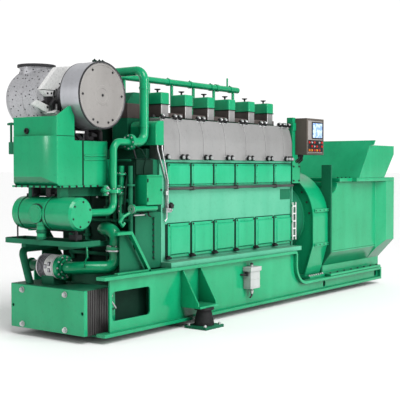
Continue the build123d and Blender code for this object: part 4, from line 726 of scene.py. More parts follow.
@dataclass(frozen=True)
class Turned(Part):
    """Turned body: its profile gives the radius and the distance along the axis of each corner."""

    centre: Point
    axis: Point
    profile: Outline
    sides: int = 56

    def put(self, mesh: BMesh) -> None:
        """Spin the profile about the axis.

        Args:
            mesh: Mesh that takes it.
        """
        before = set(mesh.verts)
        radius, reach = self.profile[0]
        last = bmesh.ops.create_vert(mesh, co=(radius, 0.0, reach))["vert"][0]
        for radius, reach in self.profile[1:]:
            last = bmesh.ops.extrude_vert_indiv(mesh, verts=[last])["verts"][0]
            last.co = (radius, 0.0, reach)
        line = [vert for vert in mesh.verts if vert not in before]
        edges = list({edge for vert in line for edge in vert.link_edges})
        bmesh.ops.spin(
            mesh, geom=line + edges, cent=(0, 0, 0), axis=UP, angle=math.tau, steps=self.sides,
            use_merge=True,
        )
        body = [vert for vert in mesh.verts if vert not in before]
        bmesh.ops.remove_doubles(mesh, verts=body, dist=SEAM_WELD)
        body = [vert for vert in mesh.verts if vert not in before]
        bmesh.ops.transform(mesh, matrix=Matrix.Translation(self.centre) @ towards(self.axis), verts=body)


@dataclass(frozen=True)
class Bolt(Part):
    """Hexagon bolt head on a washer with a stud end; its size is the washer's radius."""

    place: Point
    axis: Point
    size: float

    # Start, end, radius and sides of the washer, the head and the stud end, the first three in washer radii
    STEPS = ((0.0, 0.16, 1.0, 12), (0.16, 0.75, 0.8, 6), (0.75, 1.05, 0.4, 8))

    def put(self, mesh: BMesh) -> None:
        """Add the bolt.

        Args:
            mesh: Mesh that takes it.
        """
        foot, out = Vector(self.place), Vector(self.axis).normalized() * self.size
        for start, end, radius, sides in self.STEPS:
            Rod(foot + out * start, foot + out * end, self.size * radius, sides=sides).put(mesh)


@dataclass(frozen=True)
class Plate(Part):
    """Plate whose outline lies in X and Z, from its low to its high place along Y."""

    outline: Outline
    low: float
    high: float
    bevel: float = 0.0

    def put(self, mesh: BMesh) -> None:
        """Draw the outline and extrude it.

        Args:
            mesh: Mesh that takes it.
        """
        before = set(mesh.verts)
        spots = [bmesh.ops.create_vert(mesh, co=(x, self.low, z))["vert"][0] for x, z in self.outline]
        pairs = zip(spots, spots[1:] + spots[:1])
        edges = [bmesh.ops.contextual_create(mesh, geom=list(pair))["edges"][0] for pair in pairs]
        face = bmesh.ops.contextual_create(mesh, geom=edges)["faces"]
        grown = bmesh.ops.extrude_face_region(mesh, geom=face, use_keep_orig=True)["geom"]
        moved = [item for item in grown if isinstance(item, bmesh.types.BMVert)]
        bmesh.ops.translate(mesh, vec=(0.0, self.high - self.low, 0.0), verts=moved)
        if self.bevel:
            soften(mesh, [vert for vert in mesh.verts if vert not in before], self.bevel)


@dataclass(frozen=True)
class Star(Part):
    """Five-lobed hand knob on a stem."""

    place: Point
    axis: Point
    radius: float
    height: float
    stem_radius: float = 0.5
    stem_height: float = 0.5
    lobe_foot: float = 0.4
    taper: float = 0.86
    hollow: float = 0.32
    sides: int = 10

    def put(self, mesh: BMesh) -> None:
        """Add the stem and a cone whose every second corner is drawn in.

        Args:
            mesh: Mesh that takes it.
        """
        foot, out = Vector(self.place), Vector(self.axis).normalized() * self.height
        Rod(foot, foot + out * self.stem_height, self.radius * self.stem_radius, sides=self.sides).put(mesh)
        start, side, corner = foot + out * self.lobe_foot, out.orthogonal(), math.tau / self.sides
        for vert in Rod(start, foot + out, self.radius, self.radius * self.taper, self.sides).grow(mesh):
            arm = vert.co - start
            arm -= out * (arm.dot(out) / out.length_squared)
            if arm.length > SEAM_WELD and round(arm.angle(side) / corner) % 2:
                vert.co -= arm * self.hollow


@dataclass(frozen=True)
class SoftCopy(Part):
    """CAD node's mesh with its triangles joined and its sharp edges bevelled."""

    node: str
    width: float

    def put(self, mesh: BMesh) -> None:
        """Copy the node into an empty mesh.

        Args:
            mesh: Mesh that takes it.
        """
        mesh.from_mesh(frame["nodes"][self.node].data)
        bmesh.ops.scale(mesh, vec=(1 / MM,) * 3, verts=mesh.verts)
        bmesh.ops.remove_doubles(mesh, verts=mesh.verts, dist=WELD)
        bmesh.ops.dissolve_limit(mesh, angle_limit=FLAT_ANGLE, verts=mesh.verts, edges=mesh.edges)
        soften(mesh, list(mesh.verts), self.width)


@dataclass(frozen=True)
class Shifted(Part):
    """Part moved from where it was drawn."""

    part: Part
    by: Point

    def put(self, mesh: BMesh) -> None:
        """Add the part at its new place.

        Args:
            mesh: Mesh that takes it.
        """
        before = set(mesh.verts)
        self.part.put(mesh)
        new = [vert for vert in mesh.verts if vert not in before]
        bmesh.ops.translate(mesh, vec=self.by, verts=new)


def ring(centre: Point, axis: Point, inner: float, outer: float, width: float, sides: int = 40) -> Turned:
    """Flat ring whose first face has its middle at the centre."""
    profile = ((inner, 0.0), (outer, 0.0), (outer, width), (inner, width), (inner, 0.0))
    return Turned(centre, axis, profile, sides)


def circle(centre: Point, axis: Point, radius: float, count: int, start: float = 0.0) -> list[Point]:
    """Places on a circle.

    Args:
        centre: Middle of the circle.
        axis: Direction of its axis.
        radius: Radius of the circle.
        count: Number of places.
        start: Angle of the first place in degrees.

    Returns:
        The places.
    """
    turn = Vector(axis).to_track_quat("Z", "Y")
    angles = [math.radians(start) + math.tau * number / count for number in range(count)]
    spokes = [Vector((radius * math.cos(angle), radius * math.sin(angle), 0.0)) for angle in angles]
    return [Vector(centre) + turn @ spoke for spoke in spokes]


def row(start: Point, end: Point, count: int) -> list[Point]:
    """So many places spaced evenly from one point to another."""
    return [Vector(start).lerp(Vector(end), number / (count - 1)) for number in range(count)]


def both(places: list[Point]) -> list[Point]:
    """Places and their mirror images on the other side of the set."""
    return [(x, side * y, z) for side in SIDES for x, y, z in places]


def bolts(places: list[Point], axis: Point, size: float) -> Parts:
    """Bolts that point the same way."""
    return tuple(Bolt(place, axis, size) for place in places)


def bolt_circle(
    centre: Point, axis: Point, radius: float, count: int, size: float, start: float = 0.0,
) -> Parts:
    """Bolts on a circle, the first of them at an angle in degrees."""
    return bolts(circle(centre, axis, radius, count, start), axis, size)


def placed(parts: Iterable[Part], moves: Iterable[Point]) -> list[Part]:
    """Parts repeated, each time moved from where they were drawn."""
    return [Shifted(part, move) for move in moves for part in parts]


def each(parts: Iterable[Part], places: Iterable[float]) -> list[Part]:
    """Parts repeated at places along the set."""
    return placed(parts, [(x, 0.0, 0.0) for x in places])


def cables(glands: Numbers, route: Route, drops: Numbers, radius: float) -> list[Part]:
    """Cables from a row of glands, each of which hangs lower than the last.

    Args:
        glands: Places of the glands along the set.
        route: Points of the first cable, from its gland.
        drops: How much lower each point of the next cable is.
        radius: Radius of the cables.

    Returns:
        The cables.
    """
    parts = []
    for number, gland in enumerate(glands):
        points = [(gland + x, y, z - number * drop) for (x, y, z), drop in zip(route, drops)]
        parts.append(Pipe(tuple(points), radius))
    return parts


class Workshop:
    """Materials, each made once, and the way pieces join the frame."""

    def __init__(self) -> None:
        """Build every finish."""
        self.materials: dict[Look, bpy.types.Material] = {}
        for look, finish in FINISHES.items():
            self.materials[look] = bpy.data.materials.new(look.value)
            finish.dress(Graph(self.materials[look]))

    def dress_nodes(self) -> None:
        """Give every CAD node its finish."""
        for node, look in node_looks().items():
            mesh = frame["nodes"][node].data
            mesh.materials.clear()
            mesh.materials.append(self.materials[look])

    def add(self, name: str, look: Look, parts: Iterable[Part], *replaced: str) -> None:
        """Make parts a piece that rides on the set.

        Args:
            name: Name of the piece.
            look: Its finish.
            parts: What it is made of.
            replaced: CAD nodes that it stands in for.
        """
        mesh = bmesh.new()
        for part in parts:
            part.put(mesh)
        bmesh.ops.scale(mesh, vec=(MM,) * 3, verts=mesh.verts)
        bmesh.ops.recalc_face_normals(mesh, faces=mesh.faces)
        for face in mesh.faces:
            face.smooth = True
        data = bpy.data.meshes.new(name)
        mesh.to_mesh(data)
        mesh.free()
        data.set_sharp_from_angle(angle=SMOOTH_ANGLE)
        data.materials.append(self.materials[look])
        piece = bpy.data.objects.new(name, data)
        bpy.context.scene.collection.objects.link(piece)
        piece.modifiers.new("weighted", "WEIGHTED_NORMAL").keep_sharp = True
        depsgraph = bpy.context.evaluated_depsgraph_get()
        piece.data = bpy.data.meshes.new_from_object(piece.evaluated_get(depsgraph))
        piece.modifiers.clear()
        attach(piece, BODY)
        if replaced:
            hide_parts(*replaced)
        LOG.info("%s: %d faces", name, len(data.polygons))


def node_looks() -> dict[str, Look]:
    """Look of each CAD node: its slot's, unless it has one of its own."""
    looks = {line["node"]: Look(line["material_slot"]) for line in frame["record"]["subparts"]}
    return {**looks, **NODE_LOOKS}


@dataclass
class Assembly:
    """Sub-assembly: its sizes in millimetres, and the workshop that makes its pieces."""

    shop: Workshop


@dataclass
class SoftBodies(Assembly):
    """Housings and castings whose sharp CAD edges get a real bevel."""

    widths: tuple[tuple[str, float], ...] = (
        ("rocker_covers", 5.0), ("rocker_bases", 3.0), ("charge_air_cooler", 5.0), ("crankcase_doors", 3.0),
        ("camshaft_covers", 2.5), ("hot_box_panels", 4.0), ("junction_cabinet", 4.0), ("front_top_box", 6.0),
        ("cylinder_heads", 8.0), ("leak_canister", 3.0), ("cooler_end_plates", 4.0), ("alternator_body", 6.0),
        ("alternator_end_shield", 4.0), ("alternator_roof", 4.0), ("alternator_hood", 3.0),
        ("panel_post", 4.0), ("front_end_casing", 6.0), ("cam_drive_cover", 5.0),
        ("mount_bracket_near", 2.5), ("mount_bracket_far", 2.5), ("exhaust_manifold", 6.0),
    )

    def build(self) -> None:
        """Replace each housing by its bevelled copy."""
        looks = node_looks()
        for node, width in self.widths:
            self.shop.add(f"{node}_soft", looks[node], [SoftCopy(node, width)], node)


@dataclass
class BaseFrame(Assembly):
    """Bolts of the rails and of the mounts' feet, and what shows through the rails' windows: a hose, and dark
    boards that paint the shade inside.
    """

    guard_row: Route = ((992, 500, 240), (1292, 500, 240))
    guard_count: int = 7
    guard_bolt: float = 15.0
    alternator_row: Route = ((1385, 556, 240), (2600, 556, 240))
    alternator_count: int = 8
    alternator_bolt: float = 14.0
    foot_top: float = 25.0
    foot_bolt: float = 19.0
    window_shade_boards: Parts = (
        Block((-2270, -452, 75), (-1620, -440, 560)), Block((1400, -497, 90), (2640, -490, 190)),
    )
    hose: Parts = (
        Pipe((
            (-2396, -535, 400), (-2385, -528, 360), (-2345, -522, 325), (-2310, -518, 285),
            (-2262, -448, 262),
        ), 8),
        Bolt((-2396, -540, 400), NEAR, 16),
    )

    def build(self) -> None:
        """Add the bolts, the hose and the boards that paint shade."""
        guard = bolts(both(row(*self.guard_row, self.guard_count)), UP, self.guard_bolt)
        alternator = bolts(both(row(*self.alternator_row, self.alternator_count)), UP, self.alternator_bolt)
        self.shop.add("frame_bolts", Look.DARK, alternator)
        self.shop.add("foot_bolts", Look.BRIGHT, guard + bolts(self.foot_holes(), UP, self.foot_bolt))
        self.shop.add("window_hose", Look.BRIGHT, self.hose)
        # Dark boards behind the windows: painted shade
        self.shop.add("frame_shade", Look.SEAM_AND_SHADE, self.window_shade_boards)

    def foot_holes(self) -> list[Point]:
        """Places of the foot plates' holes, from the record's mounts.

        Returns:
            The places, on top of the plates.
        """
        holes = []
        for mount in frame["record"]["mounts"]:
            if mount["name"].startswith("foot_bolts"):
                x, y = mount["pos_m"][0] / MM, mount["pos_m"][1] / MM
                along, across = mount["dims"]["spacing_x_mm"] / 2, mount["dims"]["spacing_y_mm"] / 2
                holes += [(x + i * along, y + j * across, self.foot_top) for j in SIDES for i in SIDES]
        return holes


@dataclass
class PlateCooler(Assembly):
    """Tie bolts of the plate cooler and the cover over its plates."""

    face: float = -2625.0
    columns: Pair = (304.0, -228.0)
    heights: Pair = (106.0, 408.0)
    nut: float = 27.0
    cover: Block = Block((-2622, -452, 454), (-2250, 452, 458), 1)

    def build(self) -> None:
        """Add the nuts on the front plate, and the cover."""
        places = [(self.face, y, z) for y in self.columns for z in self.heights]
        self.shop.add("cooler_nuts", Look.BRIGHT, bolts(places, FORE, self.nut))
        self.shop.add("cooler_cover", Look.SHADED, [self.cover])


@dataclass(frozen=True)
class CoverRow:
    """Row of covers on both sides: the bolts in their corners and the dark gaps around them."""

    bolt_along: float
    bolt_reach: float
    bolt_heights: Pair
    bolt_size: float
    gap_half: float
    bottom: float
    top: float
    seam_half: float
    seam_top: float
    gap_reach: Pair = (418.0, 425.0)

    def corners(self, side: int) -> Parts:
        """Bolts of the covers on one side.

        Args:
            side: -1 for the near side, 1 for the far side.

        Returns:
            The bolts.
        """
        along = [x + i * self.bolt_along for x in CYLINDERS for i in SIDES]
        places = [(x, side * self.bolt_reach, z) for x in along for z in self.bolt_heights]
        return bolts(places, (0, side, 0), self.bolt_size)

    def gaps(self, side: int) -> list[Part]:
        """Gaps between the covers and seams above them.

        Args:
            side: -1 for the near side, 1 for the far side.

        Returns:
            The dark strips.
        """
        near, far = sorted(side * reach for reach in self.gap_reach)
        gap = Block((-self.gap_half, near, self.bottom), (self.gap_half, far, self.top))
        seam = Block((-self.seam_half, near, self.top), (self.seam_half, far, self.seam_top))
        edges = [x - PITCH / 2 for x in CYLINDERS] + [CYLINDERS[-1] + PITCH / 2]
        return each((gap,), edges) + each((seam,), CYLINDERS)


@dataclass
class Crankcase(Assembly):
    """Fasteners of the crankcase doors and camshaft covers, and the bare data plate."""

    doors: CoverRow = CoverRow(
        bolt_along=152, bolt_reach=431, bolt_heights=(652, 945), bolt_size=10,
        gap_half=15, bottom=640, top=957, seam_half=170, seam_top=966,
    )
    cam_covers: CoverRow = CoverRow(
        bolt_along=157, bolt_reach=437, bolt_heights=(1325, 1510), bolt_size=8,
        gap_half=9, bottom=1313, top=1522, seam_half=180, seam_top=1534,
    )
    clamp_reach: Pair = (420.0, 462.0)
    clamp_half: float = 15.0
    clamp_heights: Pair = (632.0, 664.0)
    clamp_bevel: float = 4.0
    pin_half: float = 34.0
    pin_reach: float = 452.0
    pin_height: float = 640.0
    pin_radius: float = 11.0
    pin_sides: int = 10
    data_plate: Block = Block((480, -423, 1135), (686, -419, 1248), 1)

    def clamp(self, side: int) -> Parts:
        """Clamp between two doors, with its pin.

        Args:
            side: -1 for the near side, 1 for the far side.

        Returns:
            Its parts, at the middle of the set.
        """
        near, far = sorted(side * reach for reach in self.clamp_reach)
        low, high = self.clamp_heights
        block = Block((-self.clamp_half, near, low), (self.clamp_half, far, high), self.clamp_bevel)
        start = (-self.pin_half, side * self.pin_reach, self.pin_height)
        end = (self.pin_half, side * self.pin_reach, self.pin_height)
        return block, Rod(start, end, self.pin_radius, sides=self.pin_sides)

    def build(self) -> None:
        """Add the bolts, the door clamps, the gaps and the plate."""
        corners, clamps, gaps = [], [], []
        for side in SIDES:
            clamps += each(self.clamp(side), [x - PITCH / 2 for x in CYLINDERS])
            for covers in (self.doors, self.cam_covers):
                corners += covers.corners(side)
                gaps += covers.gaps(side)
        self.shop.add("cover_bolts", Look.DARK, corners)
        self.shop.add("door_clamps", Look.PLASTIC, clamps)
        self.shop.add("cover_gaps", Look.SEAM_AND_SHADE, gaps)
        self.shop.add("data_plate", Look.SHADED, [self.data_plate])


@dataclass
class HotBox(Assembly):
    """Hand knobs along the top and the foot of the hot-box panels."""

    top: float = 1938.0
    top_reach: float = -386.0
    foot_height: float = 1582.0
    face: float = -440.0
    lean: Point = (0.0, -0.57, 0.82)
    last_seam: float = 640.0
    top_pair: Pair = (-30.0, 48.0)
    foot_pair: Pair = (8.0, 82.0)
    last_foot_pair: Pair = (-50.0, 10.0)
    first_top: float = -1530.0
    first_foot: float = -1535.0
    star_radius: float = 32.0
    star_height: float = 40.0
    collar_radius: float = 25.0
    collar_height: float = 9.0
    cap_radii: Pair = (20.0, 14.0)
    cap_heights: Pair = (36.0, 50.0)
    cap_sides: int = 14

    def build(self) -> None:
        """Add the knobs at every seam: black stars, and bright collars and caps."""
        along_top = [seam + i for seam in (*CYLINDERS, self.last_seam) for i in self.top_pair]
        along_foot = [seam + i for seam in CYLINDERS for i in self.foot_pair]
        along_foot += [self.last_seam + i for i in self.last_foot_pair]
        knobs = [((x, self.top_reach, self.top), self.lean) for x in (*along_top, self.first_top)]
        knobs += [((x, self.face, self.foot_height), NEAR) for x in (*along_foot, self.first_foot)]
        stars = [Star(place, axis, self.star_radius, self.star_height) for place, axis in knobs]
        self.shop.add("hot_box_knob_bases", Look.PLASTIC, stars)
        self.shop.add("hot_box_knob_caps", Look.BRIGHT, [part for knob in knobs for part in self.caps(*knob)])

    def caps(self, place: Point, axis: Point) -> list[Part]:
        """Collar under a knob and cap on it.

        Args:
            place: Where the knob sits.
            axis: Direction that it points in.

        Returns:
            The collar and the cap.
        """
        foot, out = Vector(place), Vector(axis)
        low, high = self.cap_heights
        return [
            Rod(foot, foot + out * self.collar_height, self.collar_radius, sides=self.cap_sides),
            Rod(foot + out * low, foot + out * high, *self.cap_radii, sides=self.cap_sides),
        ]


@dataclass
class Heads(Assembly):
    """Gaskets, nuts and injector lines of the heads, and dark brown plates that paint shade on the rocker
    bases, placed from a cylinder's middle.
    """

    head_top: float = 1960.0
    gaskets: Parts = (
        Block((-65, -264, 2086), (65, -64, 2094), 1), Block((-66, -265, 1960), (66, -63, 1969), 1),
    )
    nut_along: float = 112.0
    nut_rows: Numbers = (-205.0, 20.0, 150.0)
    nut: float = 27.0
    first_plate: Block = Block((-1682, -101, 1950), (-1487, 101, 2088), 4)
    end_plate: Block = Block((-62, -256, 1966), (-58, -72, 2084), 1)
    joint_plate: Block = Block((66, -238, 1962), (306, -110, 2012), 6)
    last_plate: Block = Block((66, -238, 1962), (110, -110, 2012), 6)
    lines: Parts = (
        Pipe(((95, -262, 1880), (95, -300, 1900), (95, -318, 1945)), 9),
        Pipe(((0, 60, 1960), (0, 60, 2010), (30, 120, 2030), (112, 150, 1984)), 8),
    )

    def build(self) -> None:
        """Add the pieces on each head."""
        nuts = [(i * self.nut_along, y, self.head_top) for i in SIDES for y in self.nut_rows]
        plates = [self.first_plate, *each((self.end_plate,), CYLINDERS)]
        plates += each((self.joint_plate,), CYLINDERS[:-1]) + each((self.last_plate,), CYLINDERS[-1:])
        self.shop.add("head_gaskets", Look.SEAM_AND_SHADE, each(self.gaskets, CYLINDERS))
        self.shop.add("head_nuts", Look.DARK, each(bolts(nuts, UP, self.nut), CYLINDERS))
        self.shop.add("injector_lines", Look.BRIGHT, each(self.lines, CYLINDERS))
        # Dark brown plates painted as shade on the front faces of the rocker bases
        self.shop.add("head_shade_plates", Look.SHADE_BROWN, plates)


@dataclass
class Turbocharger(Assembly):
    """Silencer's disc and bolts, lagging studs, heat shields, joint rings and oil lines."""

    x: float = -2303.0
    z: float = 2105.0
    face: float = -365.0
    disc_profile: Outline = (
        (0, 3), (58, 3), (60, 5), (84, 5), (86, 3), (150, 3), (152, 4.2), (200, 4.2), (202, 3), (256, 3),
        (259, 5.5), (272, 5.5), (277, 3), (277, -4),
    )
    disc_sides: int = 72
    front_rim: Numbers = (279.0, 291.0, 9.4)
    front_rim_place: float = -364.0
    rear_rim: Numbers = (286.0, 291.5, 8.0)
    rear_rim_place: float = -140.0
    bolt_face: float = -368.0
    bolt_radius: float = 241.0
    bolt_angles: Numbers = (120.0, 58.0, 180.0, 1.0, -119.0, -105.0, -73.0, -59.0)
    bolt: float = 10.5
    middle_bolt: float = 12.0
    lug: Parts = (Block((-14, -330, 2380), (14, -296, 2408), 4), Bolt((0, -313, 2408), UP, 10))
    lug_places: Numbers = (-2343.0, -2283.0, -2243.0)
    casing_radius: float = 267.0
    seed: int = 7
    stud_rows: range = range(165, 560, 52)
    stud_angles: range = range(0, 360, 18)
    stud_turn: float = 7.0
    stud_drift: float = 18.0
    stud: Pair = (6.5, 4.5)
    stud_height: float = 5.0
    stud_sides: int = 8
    outlet_reach: float = 455.0
    outlet_clear: float = 170.0
    outlet_rise: float = 0.3
    outlet_radius: float = 151.0
    outlet_angles: range = range(0, 360, 24)
    outlet_heights: Pair = (2350.0, 2364.0)
    bands: Numbers = (158.0, 345.0, 536.0)
    band: Numbers = (264.0, 270.0, 7.0)
    band_sides: int = 64
    sheets: Parts = (
        Plate(((-2612, 2158), (-2424, 2366), (-2240, 2394), (-2262, 2330), (-2432, 2162)), 62, 118, 3),
        Plate(((-2602, 2154), (-2440, 2158), (-2452, 2108), (-2540, 2102)), 66, 112, 3),
        Plate(((-2736, 2024), (-2508, 1944), (-2440, 1990), (-2668, 2066)), 52, 64, 2),
        Plate(((-2562, 1955), (-2410, 1890), (-2380, 1920), (-2520, 1985)), -40, 96, 3),
    )
    clutter: Parts = (
        Bolt((-2535, 66, 2130), NEAR, 9), Bolt((-2490, 66, 2132), NEAR, 9),
        Block((-2540, 70, 2030), (-2420, 124, 2106), 6),
        Rod((-2560, 58, 2004), (-2470, 92, 2040), 14, sides=12),
        Pipe(((-2600, 104, 2040), (-2540, 104, 2060), (-2470, 104, 2080)), 12),
        Pipe(((-2500, 20, 2070), (-2540, 20, 2030), (-2520, 20, 1985)), 18),
        Block((-2480, -30, 1960), (-2400, 88, 2060), 8),
    )
    neck_places: Pair = (-52.0, 66.0)
    neck_ring: Numbers = (118.0, 168.0, 20.0)
    neck_sides: int = 48
    neck_bolt_radius: float = 150.0
    neck_bolt_count: int = 14
    neck_bolt: float = 9.0
    dark_lines: Parts = (
        Block((-2476, -15, 1985), (-2432, 48, 2040), 5),
        Pipe(((-2403, -60, 1800), (-2450, -120, 1790), (-2455, -200, 1770), (-2420, -235, 1716)), 20),
        Pipe(((-2203, -60, 1830), (-2160, -120, 1820), (-2150, -190, 1790), (-2150, -190, 1716)), 24),
        Pipe(((-2320, -102, 1790), (-2320, -160, 1780), (-2320, -190, 1716)), 30),
        Block((-2500, -150, 1716), (-2120, -40, 1760), 6), Block((-2500, -92, 1716), (-2020, -60, 1880), 6),
        Block((-2440, -272, 1716), (-2428, -264, 1778), 2),
    )
    foot_places: Numbers = (-2420.0, -2320.0, -2150.0)
    foot_bolts: Parts = bolt_circle((0, -200, 1716), UP, 46, 4, 11, 45)
    oil_lines: Parts = (
        Pipe((
            (-2420, 18, 2060), (-2470, 18, 2030), (-2484, 18, 1970), (-2450, 18, 1925), (-2400, 18, 1910),
        ), 15),
        Pipe(((-2425, -30, 2040), (-2455, -30, 1990), (-2440, -30, 1930), (-2400, -30, 1890)), 10),
    )
    bracket: Block = Block((-2533, -274, 1776), (-2426, -262, 1796), 2)

    def build(self) -> None:
        """Add the silencer's front, the studs, the shields and the lines."""
        self.silencer()
        self.lagging()
        self.shields()
        self.lines()

    def band_at(self, y: float, sizes: Numbers, axis: Point, sides: int) -> Turned:
        """Ring around the turbocharger's axis."""
        return ring((self.x, y, self.z), axis, *sizes, sides)

    def silencer(self) -> None:
        """Add the disc, its rims, its bolts and the lugs on the silencer."""
        middle = Vector((self.x, self.bolt_face, self.z))
        turns = [math.radians(angle) for angle in self.bolt_angles]
        spokes = [Vector((math.cos(turn), 0.0, math.sin(turn))) * self.bolt_radius for turn in turns]
        screws = bolts([middle + spoke for spoke in spokes], NEAR, self.bolt)
        disc = Turned((self.x, self.face, self.z), NEAR, self.disc_profile, self.disc_sides)
        rims = [
            self.band_at(self.front_rim_place, self.front_rim, NEAR, self.disc_sides),
            self.band_at(self.rear_rim_place, self.rear_rim, NEAR, self.disc_sides),
        ]
        self.shop.add("silencer_disc", Look.DISC, [disc])
        self.shop.add("silencer_rims", Look.DARK, rims)
        self.shop.add("silencer_bolts", Look.DARK, [*screws, Bolt(middle, NEAR, self.middle_bolt)])
        self.shop.add("silencer_lugs", Look.SEAM_AND_SHADE, each(self.lug, self.lug_places))

    def stud_at(self, place: Vector, out: Vector) -> Rod:
        """Stud that stands out from a lagging sheet."""
        return Rod(place, place + out * self.stud_height, *self.stud, sides=self.stud_sides)

    def lagging(self) -> None:
        """Add the studs and bands that hold the turbine's lagging sheets."""
        studs = []
        spread = random.Random(self.seed)
        for y in self.stud_rows:
            for angle in self.stud_angles:
                turn = math.radians(angle + spread.uniform(-self.stud_turn, self.stud_turn))
                out = Vector((math.cos(turn), 0.0, math.sin(turn)))
                drift = spread.uniform(-self.stud_drift, self.stud_drift)
                place = Vector((self.x, y + drift, self.z)) + out * self.casing_radius
                clear = math.hypot(place.x - self.x, place.y - self.outlet_reach) > self.outlet_clear
                if clear or out.z < self.outlet_rise:
                    studs.append(self.stud_at(place, out))
        for number, angle in enumerate(self.outlet_angles):
            turn = math.radians(angle)
            out = Vector((math.cos(turn), math.sin(turn), 0.0))
            foot = Vector((self.x, self.outlet_reach, self.outlet_heights[number % 2]))
            studs.append(self.stud_at(foot + out * self.outlet_radius, out))
        bands = [self.band_at(y, self.band, FAR, self.band_sides) for y in self.bands]
        self.shop.add("lagging_studs", Look.DARK, studs)
        self.shop.add("lagging_bands", Look.LAGGING, bands)

    def shields(self) -> None:
        """Add the bent heat shields beside the turbine, and what stands behind them."""
        self.shop.add("heat_shields", Look.WHITE, self.sheets, "turbo_shields")
        self.shop.add("shield_clutter", Look.DARK, self.clutter)

    def lines(self) -> None:
        """Add joint rings, oil lines and clutter around the bearing neck and under the silencer."""
        dark = list(self.dark_lines)
        for y in self.neck_places:
            centre = (self.x, y, self.z)
            dark += bolt_circle(centre, NEAR, self.neck_bolt_radius, self.neck_bolt_count, self.neck_bolt)
        dark += each(self.foot_bolts, self.foot_places)
        rings = [self.band_at(y, self.neck_ring, FAR, self.neck_sides) for y in self.neck_places]
        self.shop.add("neck_rings", Look.SILVER, rings)
        self.shop.add("turbo_dark_lines", Look.DARK, dark)
        self.shop.add("turbo_oil_lines", Look.BRIGHT, self.oil_lines)
        self.shop.add("silencer_bracket", Look.WHITE, [self.bracket])


@dataclass
class ChargeCooler(Assembly):
    """Flange, bolts, knob, seams and the far bracket of the charge air cooler."""

    trim: Parts = (
        Block((-2758, -277, 1316), (-2160, -268, 1332), 2),
        Block((-2758, -277, 1316), (-2718, 277, 1332), 2),
        Block((-2428, -275, 1548), (-2160, -267, 1564), 3),
        Block((-2428, -275, 1582), (-2160, -267, 1598), 3),
    )
    front_row: Route = ((-2758, 225, 1324), (-2758, -225, 1324))
    near_row: Route = ((-2700, -277, 1324), (-2190, -277, 1324))
    row_count: int = 7
    bolt: float = 11.0
    seams: Parts = (
        Block((-2452, -269.2, 1334), (-2434, -266, 1712)), Block((-2749, -269.2, 1749), (-2542, -266, 1753)),
    )
    bracket: Parts = (
        Block((-2750, 268, 1600), (-2700, 330, 1706), 4), Rod((-2726, 322, 1700), (-2726, 322, 1866), 10),
        Pipe(((-2726, 285, 1862), (-2726, 322, 1866), (-2726, 362, 1862)), 11),
    )
    knob: Parts = (
        ring((-2750, 94, 1796), FORE, 13, 25, 12, 24), Rod((-2749, 94, 1796), (-2756, 94, 1796), 8, sides=12),
    )

    def build(self) -> None:
        """Add the cooler's fittings."""
        screws = bolts(row(*self.front_row, self.row_count), FORE, self.bolt)
        screws += bolts(row(*self.near_row, self.row_count), NEAR, self.bolt)
        self.shop.add("air_cooler_trim", Look.GREEN, self.trim)
        self.shop.add("air_cooler_bolts", Look.DARK, screws)
        self.shop.add("air_cooler_seams", Look.SEAM_AND_SHADE, self.seams)
        self.shop.add("air_cooler_bracket", Look.SHADED, self.bracket)
        self.shop.add("air_cooler_knob", Look.PLASTIC, self.knob)


@dataclass
class Drum(Assembly):
    """Bolts, clamps, ring, valve and sight tube of the oil filter drum."""

    end_bolts: Parts = bolt_circle((-2647, -453, 1096), NEAR, 104, 6, 9, 20)
    clamps: Parts = (
        Block((-2669, -156, 1240), (-2625, -130, 1262), 3), ring((-2647, -159, 1096), FAR, 138, 142.5, 32),
        Block((-2669, 168, 1240), (-2625, 194, 1262), 3), ring((-2647, 165, 1096), FAR, 138, 142.5, 32),
    )
    cap_rings: Parts = (
        ring((-2796, -54, 1096), AFT, 26, 32, 10), ring((-2786, -54, 1096), AFT, 78, 86, 8),
    )
    legs: Parts = (
        Rod((-2735, 235, 870), (-2735, 235, 1000), 7, sides=10),
        Rod((-2640, -380, 870), (-2640, -380, 966), 9, sides=10),
    )
    tray_fittings: Parts = (
        Pipe(((-2560, -300, 874), (-2560, -300, 930), (-2540, -200, 950), (-2540, 60, 950)), 16),
        Block((-2600, -330, 870), (-2520, -250, 915), 5),
    )
    hangers: Parts = (
        Block((-2687, -125, 1250), (-2597, -65, 1316), 6), Rod((-2647, -95, 1236), (-2647, -95, 1262), 44),
        Block((-2687, 90, 1250), (-2597, 150, 1316), 6), Rod((-2647, 120, 1236), (-2647, 120, 1262), 44),
    )
    cap: Parts = (
        ring((-2800, -54, 1096), AFT, 58, 78, 20), Rod((-2799, -54, 1096), (-2790, -54, 1096), 20, 26),
    )
    valve: Turned = Turned(
        (-2750, -80, 884), UP,
        ((0, 0), (46, 0), (46, 14), (26, 20), (48, 60), (30, 104), (44, 112), (0, 124)), 28,
    )
    sight_tube: Pipe = Pipe((
        (-2640, -498, 834), (-2640, -506, 800), (-2610, -480, 740), (-2500, -330, 668), (-2386, -236, 624),
    ), 6)

    def build(self) -> None:
        """Add the drum's fittings."""
        dark = self.end_bolts + self.clamps + self.cap_rings + self.legs + self.tray_fittings + self.hangers
        self.shop.add("drum_bolts", Look.DARK, dark)
        self.shop.add("drum_ring", Look.GREEN, self.cap)
        self.shop.add("drum_valve_body", Look.SHADED, [self.valve])
        self.shop.add("sight_tube", Look.GREEN, [self.sight_tube])


